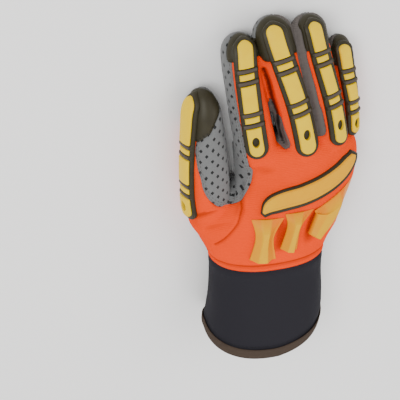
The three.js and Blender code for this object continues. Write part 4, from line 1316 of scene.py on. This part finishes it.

# %% [markdown]
# The colours are read from the photo. The view transform lightens bright colours, so the
# orange, the yellow and the ochre are set a little deeper than they look there.

# %% Colours of the finishes
finishes = {
    # the second colour of each knit is the painted shade in its rib grooves
    "orange_knit": knit("orange_knit", "#fa4a00", "#e83600"),
    "grey_suede": dotted("grey_suede", "#737474", "#1d1e1f"),
    "grey_knit": knit("grey_knit", "#6a6461", "#4e4946", 0.9),
    "black_knit": knit("black_knit", "#161718", "#0c0d0e", 0.9),
    "neoprene": woven("neoprene", "#232228", 0.55, 0.04, 0.8, 0.12),
    "binding_tape": woven("binding_tape", "#463b33", 0.8, 0.15),
    "black_webbing": woven("black_webbing", "#121211", 1.6, 0.35, 0.6, 0.3),
    # its second colour is the painted highlight on the tops of the ribs
    "dark_rubber": rubber("dark_rubber", "#332f1d", "#252115", 0.5, 0.25, "#453c35"),
    "yellow_rubber": rubber("yellow_rubber", "#e6c400", "#deb400", 0.45, 0.1),
    # its second colour is the painted shade and reflection on the bolsters, and the long pad's own
    # more orange part
    "ochre_rubber": rubber("ochre_rubber", "#e0a800", "#d49a00", 0.45, 0.1, "#e07400"),
}
floor.data.materials.append(material("pale_floor", "#fafafa", 0.9)[0])
print("finishes", len(finishes))

# %% [markdown]
# Dots keep their size on the cloth, so each point of the suede stores where it lies on its own
# panel: round and along the digit that it belongs to, or across and along the palm. Then every
# piece gets its finish, and the node of the frame that it stands for is hidden.

# %% Coordinates on the cloth and finishes of the pieces
def cloth_place(point):
    best = (1.3, *point[:2])
    for digit in digits.values():
        share, angle, near = round_digit(digit, Vector(point))
        if share > 0.02 and near < best[0]:
            half = digit.at(share)[3]
            best = (near, angle * (half[0] + half[1]) / 2, share * digit.length)
    return best[1:]


# what each piece and its thread are made of; the caps have none named and are dark rubber
THREADS = {"thumb_crotch_patch": "grey_knit", "palm_panel": "grey_knit",
           "palm_grip_patch": "black_knit"}
SLOTS = {
    "back_panel": "orange_knit", "palm_panel": "grey_suede", "palm_heel": "black_knit",
    "thumb_crotch_patch": "grey_suede", "index_middle_side": "grey_knit",
    "middle_ring_side": "grey_knit", "ring_little_side": "grey_knit", "cuff": "neoprene",
    "cuff_binding": "binding_tape", "palm_grip_patch": "grey_suede", "pull_strap": "black_webbing",
}
pieces.update(cuff=cuff, cuff_binding=tape, palm_grip_patch=grip, pull_strap=strap)
for name, place in (("palm_panel", cloth_place), ("thumb_crotch_patch", cloth_place),
                    ("palm_grip_patch", lambda point: point[:2])):
    layer = pieces[name].data.attributes.new("cloth", "FLOAT_VECTOR", "POINT")
    values = [(*place(p / MM), 0) for p in coordinates(pieces[name])]
    layer.data.foreach_set("vector", np.array(values).ravel())


def finished(obj, slot, *nodes):
    obj.data.materials.clear()
    obj.data.materials.append(finishes[slot])
    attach(obj, "root")
    if nodes:
        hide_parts(*nodes)


for name, obj in pieces.items():
    finished(obj, SLOTS.get(name, "dark_rubber"), name)
for key, obj in threads.items():
    finished(obj, THREADS.get(key, "black_webbing"))
for mouldings, pad_slot in ((guards, "yellow_rubber"), (over_back, "ochre_rubber")):
    for name, obj in mouldings.items():
        finished(obj, "dark_rubber" if name.endswith("guard") else pad_slot, name)
